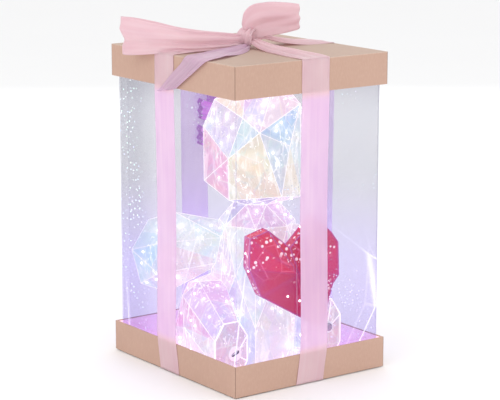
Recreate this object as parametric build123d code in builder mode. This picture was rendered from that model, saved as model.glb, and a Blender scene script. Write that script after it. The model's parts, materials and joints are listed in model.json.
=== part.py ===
"""A light-up film bear with a heart, in a clear, ribbon-tied display case.

Millimetres, +Z up. The origin is the middle of the tray's underside. The window that the bear
faces is at -Y, and the case is seen best from between -X and -Y.
"""
from build123d import *

import os
from itertools import combinations
from math import cos, radians, sin

import numpy as np

# ---------------------------------------------------------------- driving dimensions
# Card tray and lid
case_width = 173.0          # outside of the tray and the lid along X
case_depth = 200.0          # outside of the tray and the lid along Y
case_height = 300.0         # tray underside to lid top
tray_height = 28.5
lid_height = 30.0
card = 1.5                  # thickness of the wrapped card
liner_card = 1.5            # thickness of the white inner card
liner_drop = 0.8            # how far the tray's liner stays below the tray's rim

# Clear sleeve
film = 0.5                  # thickness of the clear sheet
sleeve_gap_x = 1.8          # play between the liner and the sleeve along X
sleeve_gap_y = 2.3          # play between the liner and the sleeve along Y
glue_tab = 13.0             # width of the lapped seam
lid_seat_gap = 0.1          # between the sleeve's top edge and the lid's liner

# Satin ribbon
ribbon_width = 31.0
ribbon_thickness = 0.4
ribbon_gap = 0.3            # air between the ribbon and what it runs over
left_strap_y = 10.0         # middle of each strap, along its wall
right_strap_y = -6.0
front_strap_x = 2.5
rear_strap_x = 8.0
knot_width = 15.0
knot_height = 12.0
loop_overhang = 12.75       # how far the side loop reaches past the lid's edge
loop_root = 2.0             # half the distance between a loop's layers at the knot
loop_thickness = 14.0       # how far a loop's two layers stand apart
loop_sheet = 0.8
side_loop_turn = 160.0      # direction of the side loop about Z
tall_loop_turn = -36.0      # direction in which the upright loop opens
tall_loop_rise = 43.0       # top of the upright loop above the lid
tail_sheet = 0.6
tail_drop = 35.5            # tip of the front tail below the lid's top
tail_slant = 5.5            # rise of the front tail's end from one corner to the other
curl_radius = 8.0
curl_drop = 118.0           # end of the curl below the lid's top
curl_x = 27.0

# Film bear
skin = 0.8                  # wall of the folded film shells
seam_gap = 0.3              # between two shells that are taped together
sole_thickness = 1.2
socket_sole_edge = -79.0    # outer edge of the socket's sole, beside the sleeve
socket_sole_y = -57.0       # where each foot ends
socket_sole_half_width = 18.0
socket_sole_top = 57.0
button_sole_x = 44.0        # middle of the button's sole
button_sole_y = -61.0
button_sole_half_width = 20.0
button_sole_top = 63.0
ear_height = 34.0
ear_half_width = 16.0
ear_half_thickness = 7.0
ear_turn = -15.0            # turn of the ears about Z
wire_hole = 10.0            # passage between two shells
passage_length = 35.0
passage_z = 41.0            # height of the passages to the legs
arm_passage_z = 112.0
heart_passage_x = 24.0
heart_passage_z = 110.0
torso_x = 3.0
torso_y = -11.0
torso_sides = 7
torso_turn = -128.0         # direction of the first corner of the torso's base
neck_z = 155.7
shoulder_z = 136.0
chest_z = 92.0
hip_z = 43.0
neck_radius = 22.0
shoulder_radius = 37.0
chest_radius = 44.0
hip_radius = 46.0
base_radius = 43.0

# Heart
heart_x = -6.5
heart_y = -77.0
heart_z = 98.0
heart_turn = -12.0          # turn of the heart's face about Z
heart_rim = 6.0             # depth of each half's straight rim
heart_front_bulge = 6.0     # how far the front's facets rise above its rim
heart_back_bulge = 3.0

# Charging socket and button, in the soles
socket_x = -57.0
socket_z = 27.0
socket_tilt = 22.0          # roll of the socket about its own axis
socket_disc = 14.6
socket_boss = 11.6
plug_width = 8.34           # opening of the socket
plug_height = 2.56
socket_wall = 0.3
socket_length = 7.4
socket_board_size = 13.0
tongue_width = 6.7
tongue_thickness = 0.7
tongue_length = 4.4
bezel_play = 0.05           # between the disc and the socket it holds
button_x = 49.0
button_z = 36.0
button_bore = 7.7
button_play = 0.07          # radial running clearance of the button
button_travel = 1.2
button_stand = 1.6          # how far the button stands proud of its ring
button_ring = 12.0
button_boss = 10.0
boss_play = 0.1
flange = 1.0                # thickness of the disc and of the ring in front of the sole
boss_depth = 3.0            # how far both reach in behind the sole
collar = 1.0                # thickness of the button's retaining collar
switch_size = 6.2
switch_height = 3.5
switch_gap = 0.1            # between the pressed button and its switch
leg_thickness = 1.6         # the ring's two legs, which hold the switch board
leg_width = 3.0

# Electronics in the body
holder_width = 56.0
holder_depth = 34.0
holder_height = 22.0
holder_wall = 1.6
battery_width = 50.0
battery_depth = 28.0
battery_height = 16.0
board = 1.6
wire = 0.9                  # light wire
lead = 1.4                  # socket and button leads
bead = 3.6                  # light bead

# ---------------------------------------------------------------- derived sizes
inner_width = case_width - 2 * card
inner_depth = case_depth - 2 * card
liner_width = inner_width - 2 * liner_card
liner_depth = inner_depth - 2 * liner_card
sleeve_width = liner_width - 2 * sleeve_gap_x
sleeve_depth = liner_depth - 2 * sleeve_gap_y
floor_z = card + liner_card
lid_top = case_height
lid_bottom = case_height - lid_height
lid_liner_z = lid_top - card - liner_card
sleeve_top = lid_liner_z - lid_seat_gap
bear_floor = floor_z + seam_gap
wall_x = case_width / 2 + ribbon_gap
wall_y = case_depth / 2 + ribbon_gap
band_top = lid_top + ribbon_thickness
tall_loop_top = lid_top + tall_loop_rise
tail_tip_z = lid_top - tail_drop
curl_bottom_z = lid_top - curl_drop

level_low = (Align.CENTER, Align.CENTER, Align.MIN)

os.makedirs("parts", exist_ok=True)


def save(name, part):
    """Label a finished piece and write it."""
    part.label = name
    export_step(part, f"parts/{name}.step")


# ---------------------------------------------------------------- folded film
def skin_faces(corners):
    """The flat facets of the tight skin over a set of corner points."""
    spots = np.array([tuple(p) for p in corners])
    a, b, c = np.array(list(combinations(range(len(corners)), 3))).T
    normals = np.cross(spots[b] - spots[a], spots[c] - spots[a])
    sizes = np.linalg.norm(normals, axis=1)
    flat = sizes > 1e-6
    normals = normals[flat] / sizes[flat, None]
    heights = normals @ spots.T - np.sum(normals * spots[a[flat]], axis=1)[:, None]
    supports = (heights.max(axis=1) < 1e-4) | (heights.min(axis=1) > -1e-4)
    on_plane = {tuple(np.flatnonzero(abs(row) < 1e-4)) for row in heights[supports]}
    faces = []
    for members in sorted(on_plane):
        ring = [corners[i] for i in members]
        middle = middle_of(ring)
        across = ring[0] - middle
        normal = (ring[1] - ring[0]).cross(ring[2] - ring[0])
        ring.sort(key=lambda p: across.get_signed_angle(p - middle, normal))
        faces.append(Face(Wire.make_polygon(ring, close=True)))
    return faces


def middle_of(corners):
    """The mean of a set of corner points."""
    return sum(corners, Vector(0, 0, 0)) * (1 / len(corners))


def solid_of(corners):
    """A closed solid with flat facets over the corner points."""
    return Solid(Shell(skin_faces(corners)))


def reach(corners):
    """Distance from the middle of the corners to the nearest facet."""
    middle = middle_of(corners)
    return min(abs((f.center() - middle).dot(f.normal_at())) for f in skin_faces(corners))


def grown(corners, by):
    """The corner points moved out from their middle, so that each facet moves by at least this."""
    middle = middle_of(corners)
    scale = 1 + by / reach(corners)
    return [middle + (p - middle) * scale for p in corners]


def ring_of(radius, z, sides, turn, x=0.0, y=0.0):
    """Corner points of a level polygon."""
    angles = [radians(turn + 360 * i / sides) for i in range(sides)]
    return [Vector(x + radius * cos(t), y + radius * sin(t), z) for t in angles]


def points(*triples):
    return [Vector(*t) for t in triples]


# ---------------------------------------------------------------- corner points of the bear
half_step = 180.0 / torso_sides
torso_corners = (
    ring_of(base_radius, bear_floor, torso_sides, torso_turn, torso_x, torso_y)
    + ring_of(hip_radius, hip_z, torso_sides, torso_turn, torso_x, torso_y)
    + ring_of(chest_radius, chest_z, torso_sides, torso_turn + half_step, torso_x, torso_y)
    + ring_of(shoulder_radius, shoulder_z, torso_sides, torso_turn, torso_x, torso_y)
    + ring_of(neck_radius, neck_z, torso_sides, torso_turn + half_step, torso_x, torso_y)
)

head_floor = neck_z + seam_gap
head_corners = (
    ring_of(neck_radius, head_floor, torso_sides, torso_turn + half_step, torso_x, torso_y)
    + points(
        (-30, -12, 160), (-1, -55, 167), (30, -45, 162), (44, -8, 166),         # jaw
        (-34, 23, 174), (-10, 40, 168), (30, 34, 168),                          # nape
        (-36, -19, 201), (-22, -49, 228), (7, -57, 214), (48, -30, 205),        # muzzle and cheeks
        (-34, 24, 226), (-14, 46, 212), (32, 42, 210), (52, 8, 212),            # back of the head
        (-28, -31, 240), (24, -50, 251), (46, -24, 242),                        # brows
        (-28, 14, 252), (10, 40, 250), (42, 18, 246),                           # crown
        (-17, -20, 263), (1, -38, 263), (26, -22, 266), (4, 12, 268),
    )
)

spread_arm_corners = points(
    (-10, 16, 132), (-34, -6, 124), (-6, 14, 104), (-32, -6, 100),              # shoulder
    (-53, 45, 142), (-72, 38, 116), (-72, 46, 84), (-56, 54, 62), (-32, 64, 74), (-30, 66, 118),
    (-62, 77, 130), (-77, 84, 101), (-69, 81, 67), (-50, 88, 70), (-48, 89, 112),
)

heart_arm_corners = points(
    (20, -18, 136), (34, -12, 126), (22, -20, 100), (36, -14, 104),             # shoulder
    (14, -44, 126), (32, -46, 134), (47, -44, 118), (42, -46, 98), (20, -44, 94),
    (12, -77, 116), (24, -79, 124), (34, -80, 110), (30, -80, 97), (16, -78, 98),
)

socket_leg_corners = points(
    (-38, 28, 34), (-58, 15, 80), (-30, 14, 86), (-70, 20, 38), (-56, 27, bear_floor + 8),
    (-78, -6, 44), (-74, 2, 72), (-62, -8, 86), (-36, -12, 84), (-26, -8, 46),
    (-79, -34, 30), (-74, -34, 56), (-52, -34, 68), (-38, -36, 56),
    (-72, -42, bear_floor), (-46, -42, bear_floor), (-70, 8, bear_floor), (-34, 8, bear_floor),
)
button_leg_corners = points(
    (30, 24, 34), (30, 20, 88), (58, 16, 78), (66, 14, 36),
    (24, -14, 46), (28, -16, 86), (56, -12, 88), (72, -12, 62), (74, -10, 30),
    (30, -40, 78), (54, -40, 78), (68, -38, 58), (70, -38, 28),
    (34, -42, bear_floor), (62, -42, bear_floor), (34, 6, bear_floor), (64, 4, bear_floor),
)


def sole_outline(x, half_width, height):
    """The eight-sided outline of a sole, as X and Z."""
    low = bear_floor
    chamfer = 0.55 * half_width
    return [
        (x - half_width + chamfer, low), (x + half_width - chamfer, low),
        (x + half_width, low + 0.27 * height), (x + half_width, low + 0.72 * height),
        (x + half_width - chamfer, low + height), (x - half_width + chamfer, low + height),
        (x - half_width, low + 0.72 * height), (x - half_width, low + 0.27 * height),
    ]


socket_sole_x = socket_sole_edge + socket_sole_half_width
socket_sole = sole_outline(socket_sole_x, socket_sole_half_width, socket_sole_top - bear_floor)
button_sole = sole_outline(button_sole_x, button_sole_half_width, button_sole_top - bear_floor)
socket_leg_corners += [Vector(x, socket_sole_y, z) for x, z in socket_sole]
button_leg_corners += [Vector(x, button_sole_y, z) for x, z in button_sole]


def ear_corners(x, y, z):
    """Two facetted half discs, back to back, turned with the head."""
    turn = radians(ear_turn)
    across = Vector(cos(turn), sin(turn), 0)
    ahead = Vector(sin(turn), -cos(turn), 0)
    rim = [(-1, -0.35), (-0.94, 0.35), (-0.5, 0.88), (0.1, 1.0), (0.68, 0.78), (1, 0.2), (0.9, -0.45)]
    base = Vector(x, y, z)
    corners = [base + across * (u * ear_half_width) + Vector(0, 0, v * ear_height / 2) for u, v in rim]
    corners += [base + ahead * ear_half_thickness + Vector(0, 0, s) for s in (-8, 5)]
    corners += [base - ahead * ear_half_thickness + Vector(0, 0, s) for s in (-8, 5)]
    return corners


left_ear_corners = ear_corners(-21, 6, 268)
right_ear_corners = ear_corners(36, -10, 268)

# ---------------------------------------------------------------- heart outline
heart_outline = [
    (-4, 27), (-26, 45), (-44, 39), (-45, 11), (-33, -16), (28, -52),
    (40, -11), (46, -3), (45, 28), (38, 38), (21, 54),
]
heart_plane = Plane(
    origin=(heart_x, heart_y, heart_z),
    x_dir=(cos(radians(heart_turn)), sin(radians(heart_turn)), 0),
    z_dir=(sin(radians(heart_turn)), -cos(radians(heart_turn)), 0),
)
heart_peak = (-6, -2)


def heart_half(inset, rim, bulge, side):
    """One half of the heart: a straight rim, then facets that rise to one peak."""
    with BuildSketch(Plane.XY) as flat:
        with BuildLine():
            Polyline(heart_outline, close=True)
        make_face()
        if inset:
            offset(amount=-inset, kind=Kind.INTERSECTION)
    corners = [edge @ 0 for edge in flat.sketch.face().outer_wire().order_edges()]
    peak = Vector(*heart_peak, rim + bulge)
    faces = [Face(Wire.make_polygon(corners, close=True))]
    lift = Vector(0, 0, rim)
    for a, b in zip(corners, corners[1:] + corners[:1]):
        faces.append(Face(Wire.make_polygon([a, b, b + lift, a + lift], close=True)))
        faces.append(Face(Wire.make_polygon([a + lift, b + lift, peak], close=True)))
    half = Solid(Shell(faces))
    if side < 0:
        half = half.mirror(Plane.XY)
    return heart_plane * half


heart_front_solid = heart_half(0, heart_rim, heart_front_bulge, 1)
heart_back_solid = heart_half(0, heart_rim, heart_back_bulge, -1)

# ---------------------------------------------------------------- card tray and lid
with BuildPart() as base_tray:
    Box(case_width, case_depth, tray_height, align=level_low)
    with Locations((0, 0, card)):
        Box(inner_width, inner_depth, tray_height, align=level_low, mode=Mode.SUBTRACT)
save("base_tray", base_tray.part)

with BuildPart() as tray_liner:
    with Locations((0, 0, card)):
        Box(inner_width, inner_depth, tray_height - card - liner_drop, align=level_low)
    with Locations((0, 0, floor_z)):
        Box(liner_width, liner_depth, tray_height, align=level_low, mode=Mode.SUBTRACT)
save("tray_liner", tray_liner.part)

with BuildPart() as lid:
    with Locations((0, 0, lid_bottom)):
        Box(case_width, case_depth, lid_height, align=level_low)
        Box(inner_width, inner_depth, lid_height - card,
            align=level_low, mode=Mode.SUBTRACT)
save("lid", lid.part)

with BuildPart() as lid_liner:
    with Locations((0, 0, lid_bottom + liner_drop)):
        Box(inner_width, inner_depth, lid_height - card - liner_drop, align=level_low)
        Box(liner_width, liner_depth, lid_height - card - liner_card - liner_drop,
            align=level_low, mode=Mode.SUBTRACT)
save("lid_liner", lid_liner.part)

with BuildPart() as display_sleeve:
    with BuildSketch(Plane.XY.offset(floor_z)):
        Rectangle(sleeve_width, sleeve_depth)
        Rectangle(sleeve_width - 2 * film, sleeve_depth - 2 * film, mode=Mode.SUBTRACT)
        with Locations((-sleeve_width / 2 + film, sleeve_depth / 2 - film)):
            Rectangle(film, glue_tab, align=(Align.MIN, Align.MAX))
    extrude(amount=sleeve_top - floor_z)
save("display_sleeve", display_sleeve.part)

# ---------------------------------------------------------------- ribbon
strap_places = {
    "ribbon_strap_left": (-wall_x, left_strap_y, ribbon_thickness, ribbon_width, Align.MAX, Align.CENTER),
    "ribbon_strap_right": (wall_x, right_strap_y, ribbon_thickness, ribbon_width, Align.MIN, Align.CENTER),
    "ribbon_strap_front": (front_strap_x, -wall_y, ribbon_width, ribbon_thickness, Align.CENTER, Align.MAX),
    "ribbon_strap_rear": (rear_strap_x, wall_y, ribbon_width, ribbon_thickness, Align.CENTER, Align.MIN),
}
for strap_name, (x, y, along_x, along_y, align_x, align_y) in strap_places.items():
    with BuildPart() as strap:
        with Locations((x, y, 0)):
            Box(along_x, along_y, lid_top, align=(align_x, align_y, Align.MIN))
    save(strap_name, strap.part)

half_ribbon = ribbon_width / 2
with BuildPart() as ribbon_cross:
    with BuildSketch(Plane.XY.offset(lid_top)):
        with BuildLine():
            Polyline(
                (-wall_x, left_strap_y - half_ribbon), (wall_x, right_strap_y - half_ribbon),
                (wall_x, right_strap_y + half_ribbon), (-wall_x, left_strap_y + half_ribbon),
                close=True,
            )
        make_face()
        with BuildLine():
            Polyline(
                (front_strap_x - half_ribbon, -wall_y), (front_strap_x + half_ribbon, -wall_y),
                (rear_strap_x + half_ribbon, wall_y), (rear_strap_x - half_ribbon, wall_y),
                close=True,
            )
        make_face()
    extrude(amount=ribbon_thickness)
save("ribbon_top_cross", ribbon_cross.part)

with BuildPart() as bow_knot:
    with Locations((0, 0, band_top)):
        Box(knot_width, knot_width, knot_height, align=level_low)
    fillet(bow_knot.edges().filter_by(Axis.Z), radius=0.3 * knot_width)
    chamfer(bow_knot.faces().sort_by(Axis.Z)[-1].edges(), length=0.2 * knot_height)
save("bow_knot", bow_knot.part)


def loop_profile(length, start, half_thickness, inset):
    """Outline of a bow loop seen along the ribbon's width: two flat layers that meet in a round fold."""
    half = half_thickness - inset
    with BuildSketch(Plane.XY) as outline:
        with BuildLine():
            Line((start + inset, loop_root - inset), (length - half_thickness, half))
            ThreePointArc(
                (length - half_thickness, half), (length - inset, 0), (length - half_thickness, -half)
            )
            Line((length - half_thickness, -half), (start + inset, inset - loop_root))
            Line((start + inset, inset - loop_root), (start + inset, loop_root - inset))
        make_face()
    return outline.sketch


# The side loop: a flat teardrop band standing on edge, narrow at the knot.
knot_middle_z = band_top + knot_height / 2
loop_start = 0.62 * knot_width
loop_low_z = lid_top - 6
overhang_start = (wall_x + ribbon_thickness + loop_thickness / 2) / cos(radians(180 - side_loop_turn))
loop_length = overhang_start + loop_overhang
side_plane = Plane.XY.rotated((0, 0, side_loop_turn)).offset(knot_middle_z)
with BuildPart() as bow_loop_side:
    with BuildSketch(side_plane):
        add(loop_profile(loop_length, loop_start, loop_thickness / 2, 0))
        add(loop_profile(loop_length, loop_start, loop_thickness / 2, loop_sheet), mode=Mode.SUBTRACT)
    extrude(amount=ribbon_width, both=True)
    with BuildSketch(Plane.XZ.rotated((0, 0, side_loop_turn))):
        with BuildLine():
            Polyline(
                (0, knot_middle_z + 4), (0.45 * loop_length, knot_middle_z + 12),
                (loop_length + 2, knot_middle_z + 20), (loop_length + 2, loop_low_z),
                (overhang_start, loop_low_z), (overhang_start, band_top + ribbon_gap),
                (0, band_top + ribbon_gap), close=True,
            )
        make_face()
    extrude(amount=2 * loop_thickness, both=True, mode=Mode.INTERSECT)
save("bow_loop_side", bow_loop_side.part)

# The upright loop: the same band with its fold on top, leaning away from the knot.
tall_turn = radians(tall_loop_turn)
tall_plane = Plane(
    origin=(0, 0, 0), x_dir=(0, 0, 1), z_dir=(cos(tall_turn), sin(tall_turn), 0)
)
tall_start = band_top + knot_height + ribbon_gap
with BuildPart() as bow_loop_upright:
    with BuildSketch(tall_plane):
        add(loop_profile(tall_loop_top, tall_start, loop_thickness / 2, 0))
        add(loop_profile(tall_loop_top, tall_start, loop_thickness / 2, loop_sheet), mode=Mode.SUBTRACT)
    extrude(amount=2 * ribbon_width, both=True)
    with BuildSketch(Plane.XZ.rotated((0, 0, tall_loop_turn))):
        with BuildLine():
            Polyline(
                (-6, tall_start - 1), (8, tall_start - 1), (47, tall_start + 6), (47, tall_loop_top),
                (2, tall_loop_top), (-3, tall_loop_top - 9), (-7, tall_start + 6), close=True,
            )
        make_face()
    extrude(amount=2 * loop_thickness, both=True, mode=Mode.INTERSECT)
save("bow_loop_upright", bow_loop_upright.part)

# The front tail: it leaves the knot, crosses the lid's left edge and hangs in front of the lid.
tail_z = band_top + ribbon_gap
tail_x = -wall_x - ribbon_thickness - ribbon_gap
with BuildPart() as bow_tail_front:
    with BuildSketch(Plane.XY.offset(tail_z)):
        with BuildLine():
            Polyline(
                (-half_ribbon / 2, -0.7 * knot_width), (tail_x, -26), (tail_x, -56),
                (-half_ribbon / 3, -knot_width), close=True,
            )
        make_face()
    extrude(amount=tail_sheet)
    with BuildSketch(Plane.YZ.offset(tail_x)):
        with BuildLine():
            Polyline(
                (-26, tail_z + tail_sheet), (18, tail_tip_z), (-10, tail_tip_z + tail_slant),
                (-56, tail_z + tail_sheet), close=True,
            )
        make_face()
    extrude(amount=-tail_sheet)
save("bow_tail_front", bow_tail_front.part)

# The rear tail: flat over the lid, then a loose curl down the rear wall.
curl_y = wall_y + ribbon_thickness + ribbon_gap + curl_radius
with BuildPart() as bow_tail_rear:
    with BuildSketch(Plane.XY.offset(tail_z)):
        with BuildLine():
            Polyline(
                (2, 0.6 * knot_width), (0.5 * knot_width, 0.6 * knot_width),
                (curl_x + curl_radius, curl_y), (curl_x - curl_radius, curl_y), close=True,
            )
        make_face()
    extrude(amount=tail_sheet)
    with BuildSketch(Plane.XY.offset(curl_bottom_z)):
        with Locations((curl_x, curl_y)):
            Circle(curl_radius)
    extrude(amount=tail_z - curl_bottom_z + tail_sheet)
save("bow_tail_rear", bow_tail_rear.part)

# ---------------------------------------------------------------- film bear
grown_torso = solid_of(grown(torso_corners, seam_gap))
grown_head = solid_of(grown(head_corners, seam_gap))
grown_heart = heart_half(-seam_gap, heart_rim + seam_gap, heart_back_bulge + seam_gap, -1)

wire_passages = [
    ((torso_x - 28, -6, passage_z), (-1, 0, 0)),
    ((torso_x + 28, -6, passage_z), (1, 0, 0)),
    ((-22, 2, arm_passage_z), (-1, 1, 0)),
    ((heart_passage_x, torso_y - 11, heart_passage_z), (0, -1, 0)),
]

with BuildPart() as torso_shell:
    add(solid_of(torso_corners))
    add(solid_of(grown(torso_corners, -skin)), mode=Mode.SUBTRACT)
    with Locations((torso_x, torso_y, neck_z)):
        Cylinder(wire_hole / 2, 6 * skin, mode=Mode.SUBTRACT)
    for start, direction in wire_passages:
        with Locations(Plane(origin=start, z_dir=direction)):
            Cylinder(wire_hole / 2, passage_length, mode=Mode.SUBTRACT,
                     align=level_low)
save("torso_shell", torso_shell.part)

with BuildPart() as head_shell:
    add(solid_of(head_corners))
    add(solid_of(grown(head_corners, -skin)), mode=Mode.SUBTRACT)
    with Locations((torso_x, torso_y, head_floor)):
        Cylinder(wire_hole / 2, 6 * skin, mode=Mode.SUBTRACT)
save("head_shell", head_shell.part)

limbs = {
    "ear_left_shell": (left_ear_corners, [grown_head]),
    "ear_right_shell": (right_ear_corners, [grown_head]),
    "spread_arm_shell": (spread_arm_corners, [grown_torso]),
    "heart_arm_shell": (heart_arm_corners, [grown_torso, grown_heart]),
}
for limb_name, (corners, neighbours) in limbs.items():
    with BuildPart() as limb:
        add(solid_of(corners))
        add(solid_of(grown(corners, -skin)), mode=Mode.SUBTRACT)
        for neighbour in neighbours:
            add(neighbour, mode=Mode.SUBTRACT)
    save(limb_name, limb.part)

legs = {
    "socket_leg_shell": (socket_leg_corners, socket_sole, socket_sole_y),
    "button_leg_shell": (button_leg_corners, button_sole, button_sole_y),
}
for leg_name, (corners, sole, sole_y) in legs.items():
    with BuildPart() as leg:
        add(solid_of(corners))
        add(solid_of(grown(corners, -skin)), mode=Mode.SUBTRACT)
        add(grown_torso, mode=Mode.SUBTRACT)
        with BuildSketch(Plane.XZ.offset(-sole_y - 3 * skin)):
            with BuildLine():
                Polyline(sole, close=True)
            make_face()
            offset(amount=-2 * skin, kind=Kind.INTERSECTION)
        extrude(amount=6 * skin, mode=Mode.SUBTRACT)
    save(leg_name, leg.part)

sole_panels = {
    "socket_sole_panel": (socket_sole, socket_sole_y, socket_x, socket_z, socket_boss),
    "button_sole_panel": (button_sole, button_sole_y, button_x, button_z, button_boss),
}
for panel_name, (sole, sole_y, hole_x, hole_z, boss) in sole_panels.items():
    with BuildPart() as panel:
        with BuildSketch(Plane.XZ.offset(-sole_y)):
            with BuildLine():
                Polyline(sole, close=True)
            make_face()
            with Locations((hole_x, hole_z)):
                Circle(boss / 2 + boss_play, mode=Mode.SUBTRACT)
        extrude(amount=sole_thickness)
    save(panel_name, panel.part)

# ---------------------------------------------------------------- heart
with BuildPart() as heart_front_shell:
    add(heart_front_solid)
    add(heart_half(skin, heart_rim, heart_front_bulge - skin, 1), mode=Mode.SUBTRACT)
save("heart_front_shell", heart_front_shell.part)

with BuildPart() as heart_back_shell:
    add(heart_back_solid)
    add(heart_half(skin, heart_rim - skin, heart_back_bulge - skin, -1), mode=Mode.SUBTRACT)
    with Locations(Plane(origin=(heart_passage_x, heart_y + heart_rim, heart_passage_z), z_dir=(0, 1, 0))):
        Cylinder(wire_hole / 4, 2 * wire_hole, mode=Mode.SUBTRACT)
save("heart_back_shell", heart_back_shell.part)

# ---------------------------------------------------------------- charging socket
def sole_plane(x, z, face_y, roll=0.0):
    """A plane on a sole's outer face, its Z pointing out of the foot and its X rolled from level."""
    across = (cos(radians(roll)), 0, sin(radians(roll)))
    return Plane(origin=(x, face_y, z), x_dir=across, z_dir=(0, -1, 0))


socket_face_y = socket_sole_y - sole_thickness
button_face_y = button_sole_y - sole_thickness
socket_face = sole_plane(socket_x, socket_z, socket_face_y, socket_tilt)
button_face = sole_plane(button_x, button_z, button_face_y)
shell_width = plug_width + 2 * socket_wall
shell_height = plug_height + 2 * socket_wall
socket_back = socket_length - flange        # depth of the socket's back end behind the sole's face

with BuildPart() as socket_disc_part:
    with BuildSketch(socket_face):
        Circle(socket_disc / 2)
    extrude(amount=flange)
    with BuildSketch(socket_face):
        Circle(socket_boss / 2)
    extrude(amount=-boss_depth)
    with BuildSketch(socket_face.offset(flange)):
        SlotOverall(shell_width + 2 * bezel_play, shell_height + 2 * bezel_play)
    extrude(amount=-flange - boss_depth, mode=Mode.SUBTRACT)
    fillet(socket_disc_part.faces().sort_by(Axis.Y)[0].outer_wire().edges(), radius=0.4 * flange)
save("socket_disc", socket_disc_part.part)

with BuildPart() as charging_socket:
    with BuildSketch(socket_face.offset(flange)):
        SlotOverall(shell_width, shell_height)
    extrude(amount=-socket_length)
    with BuildSketch(socket_face.offset(flange)):
        SlotOverall(plug_width, plug_height)
    extrude(amount=-socket_length + socket_wall, mode=Mode.SUBTRACT)
save("charging_socket", charging_socket.part)

with BuildPart() as socket_tongue:
    with BuildSketch(socket_face.offset(-socket_back + socket_wall)):
        RectangleRounded(tongue_width, tongue_thickness, 0.3)
    extrude(amount=tongue_length)
save("socket_tongue", socket_tongue.part)

with BuildPart() as socket_board:
    with BuildSketch(socket_face.offset(-socket_back)):
        Rectangle(socket_board_size, socket_board_size * 0.7)
    extrude(amount=-board)
save("socket_board", socket_board.part)

# ---------------------------------------------------------------- push button
button_radius = button_bore / 2 - button_play
collar_radius = button_boss / 2 - 0.2
collar_depth = boss_depth + bezel_play
switch_face_depth = collar_depth + collar + button_travel + switch_gap
switch_board_depth = switch_face_depth + switch_height
with BuildPart() as button_bezel:
    with BuildSketch(button_face):
        Circle(button_ring / 2)
    extrude(amount=flange)
    with BuildSketch(button_face):
        Circle(button_boss / 2)
    extrude(amount=-boss_depth)
    with BuildSketch(button_face.offset(-boss_depth)):
        with GridLocations(button_boss + leg_thickness, 0, 2, 1):
            Rectangle(leg_thickness * 2, leg_width)
    extrude(amount=boss_depth - sole_thickness - bezel_play)
    with BuildSketch(button_face.offset(-boss_depth)):
        with GridLocations(button_boss + 2 * leg_thickness, 0, 2, 1):
            Rectangle(leg_thickness, leg_width)
    extrude(amount=boss_depth - switch_board_depth)
    with BuildSketch(button_face.offset(flange)):
        Circle(button_bore / 2)
    extrude(amount=-flange - boss_depth, mode=Mode.SUBTRACT)
    fillet(button_bezel.faces().sort_by(Axis.Y)[0].outer_wire().edges(), radius=0.4 * flange)
save("button_ring", button_bezel.part)

with BuildPart() as power_button:
    with BuildSketch(button_face.offset(flange + button_stand)):
        Circle(button_radius)
    extrude(amount=-button_stand - flange - collar_depth)
    with BuildSketch(button_face.offset(-collar_depth)):
        Circle(collar_radius)
    extrude(amount=-collar)
    fillet(power_button.faces().sort_by(Axis.Y)[0].edges(), radius=0.4 * button_stand)
save("power_button", power_button.part)

with BuildPart() as button_switch:
    with BuildSketch(button_face.offset(-switch_face_depth)):
        Rectangle(switch_size, switch_size)
    extrude(amount=-switch_height)
save("button_switch", button_switch.part)

switch_board_width = button_boss + 4 * leg_thickness
with BuildPart() as switch_board:
    with BuildSketch(button_face.offset(-switch_board_depth)):
        Rectangle(switch_board_width, 0.7 * switch_board_width)
    extrude(amount=-board)
save("switch_board", switch_board.part)

# ---------------------------------------------------------------- electronics in the body
torso_floor = min(p.Z for p in grown(torso_corners, -skin))
board_z = torso_floor + holder_height
board_top = board_z + board
holder_centre = (torso_x, torso_y)
with BuildPart() as battery_holder:
    with Locations((*holder_centre, torso_floor)):
        Box(holder_width, holder_depth, holder_height, align=level_low)
    with Locations((*holder_centre, torso_floor + holder_wall)):
        Box(holder_width - 2 * holder_wall, holder_depth - 2 * holder_wall, holder_height,
            align=level_low, mode=Mode.SUBTRACT)
save("battery_holder", battery_holder.part)

with BuildPart() as battery_pack:
    with Locations((*holder_centre, torso_floor + holder_wall)):
        Box(battery_width, battery_depth, battery_height, align=level_low)
    fillet(battery_pack.edges().filter_by(Axis.X), radius=0.25 * battery_height)
save("battery_pack", battery_pack.part)

with BuildPart() as control_board:
    with Locations((*holder_centre, board_z)):
        Box(holder_width, holder_depth, board, align=level_low)
save("control_board", control_board.part)

with BuildPart() as board_chips:
    with Locations((torso_x - 10, torso_y + 6, board_top), (torso_x + 12, torso_y + 8, board_top)):
        Box(6, 5, 1.4, align=level_low)
    with Locations((torso_x + 2, torso_y + 11, board_top)):
        Box(9, 4, 3, align=level_low)
save("board_chips", board_chips.part)


# ---------------------------------------------------------------- leads and light strings
def run_wire(name, route, diameter, bend):
    """A round wire along straight runs joined by bends."""
    with BuildPart() as run:
        with BuildLine():
            path = FilletPolyline(*route, radius=bend)
        with BuildSketch(Plane(origin=path @ 0, z_dir=path % 0)):
            Circle(diameter / 2)
        sweep()
    save(name, run.part)


def thread_beads(name, route, skip):
    """A light bead on the middle of each run of a wire, after the first runs."""
    with BuildPart() as beads:
        for a, b in list(zip(route, route[1:]))[skip:]:
            start, end = Vector(*a), Vector(*b)
            with Locations(Plane(origin=(start + end) * 0.5, z_dir=end - start)):
                Sphere(bead / 2)
                Cylinder(wire / 2 + bezel_play, 1.2 * bead, mode=Mode.SUBTRACT)
    save(name, beads.part)


socket_board_back = socket_face_y + socket_back + board
switch_board_back = button_face_y + switch_board_depth + board
run_wire("socket_lead", [
    (-20, -8, board_top), (-20, -8, passage_z - 1), (-49, -8, passage_z - 1),
    (socket_x, -30, socket_z), (socket_x, socket_board_back, socket_z),
], lead, 4)
run_wire("button_lead", [
    (25, -8, board_top), (25, -8, passage_z - 1), (54, -8, passage_z - 1),
    (button_x, -30, button_z), (button_x, switch_board_back, button_z),
], lead, 4)

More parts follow.
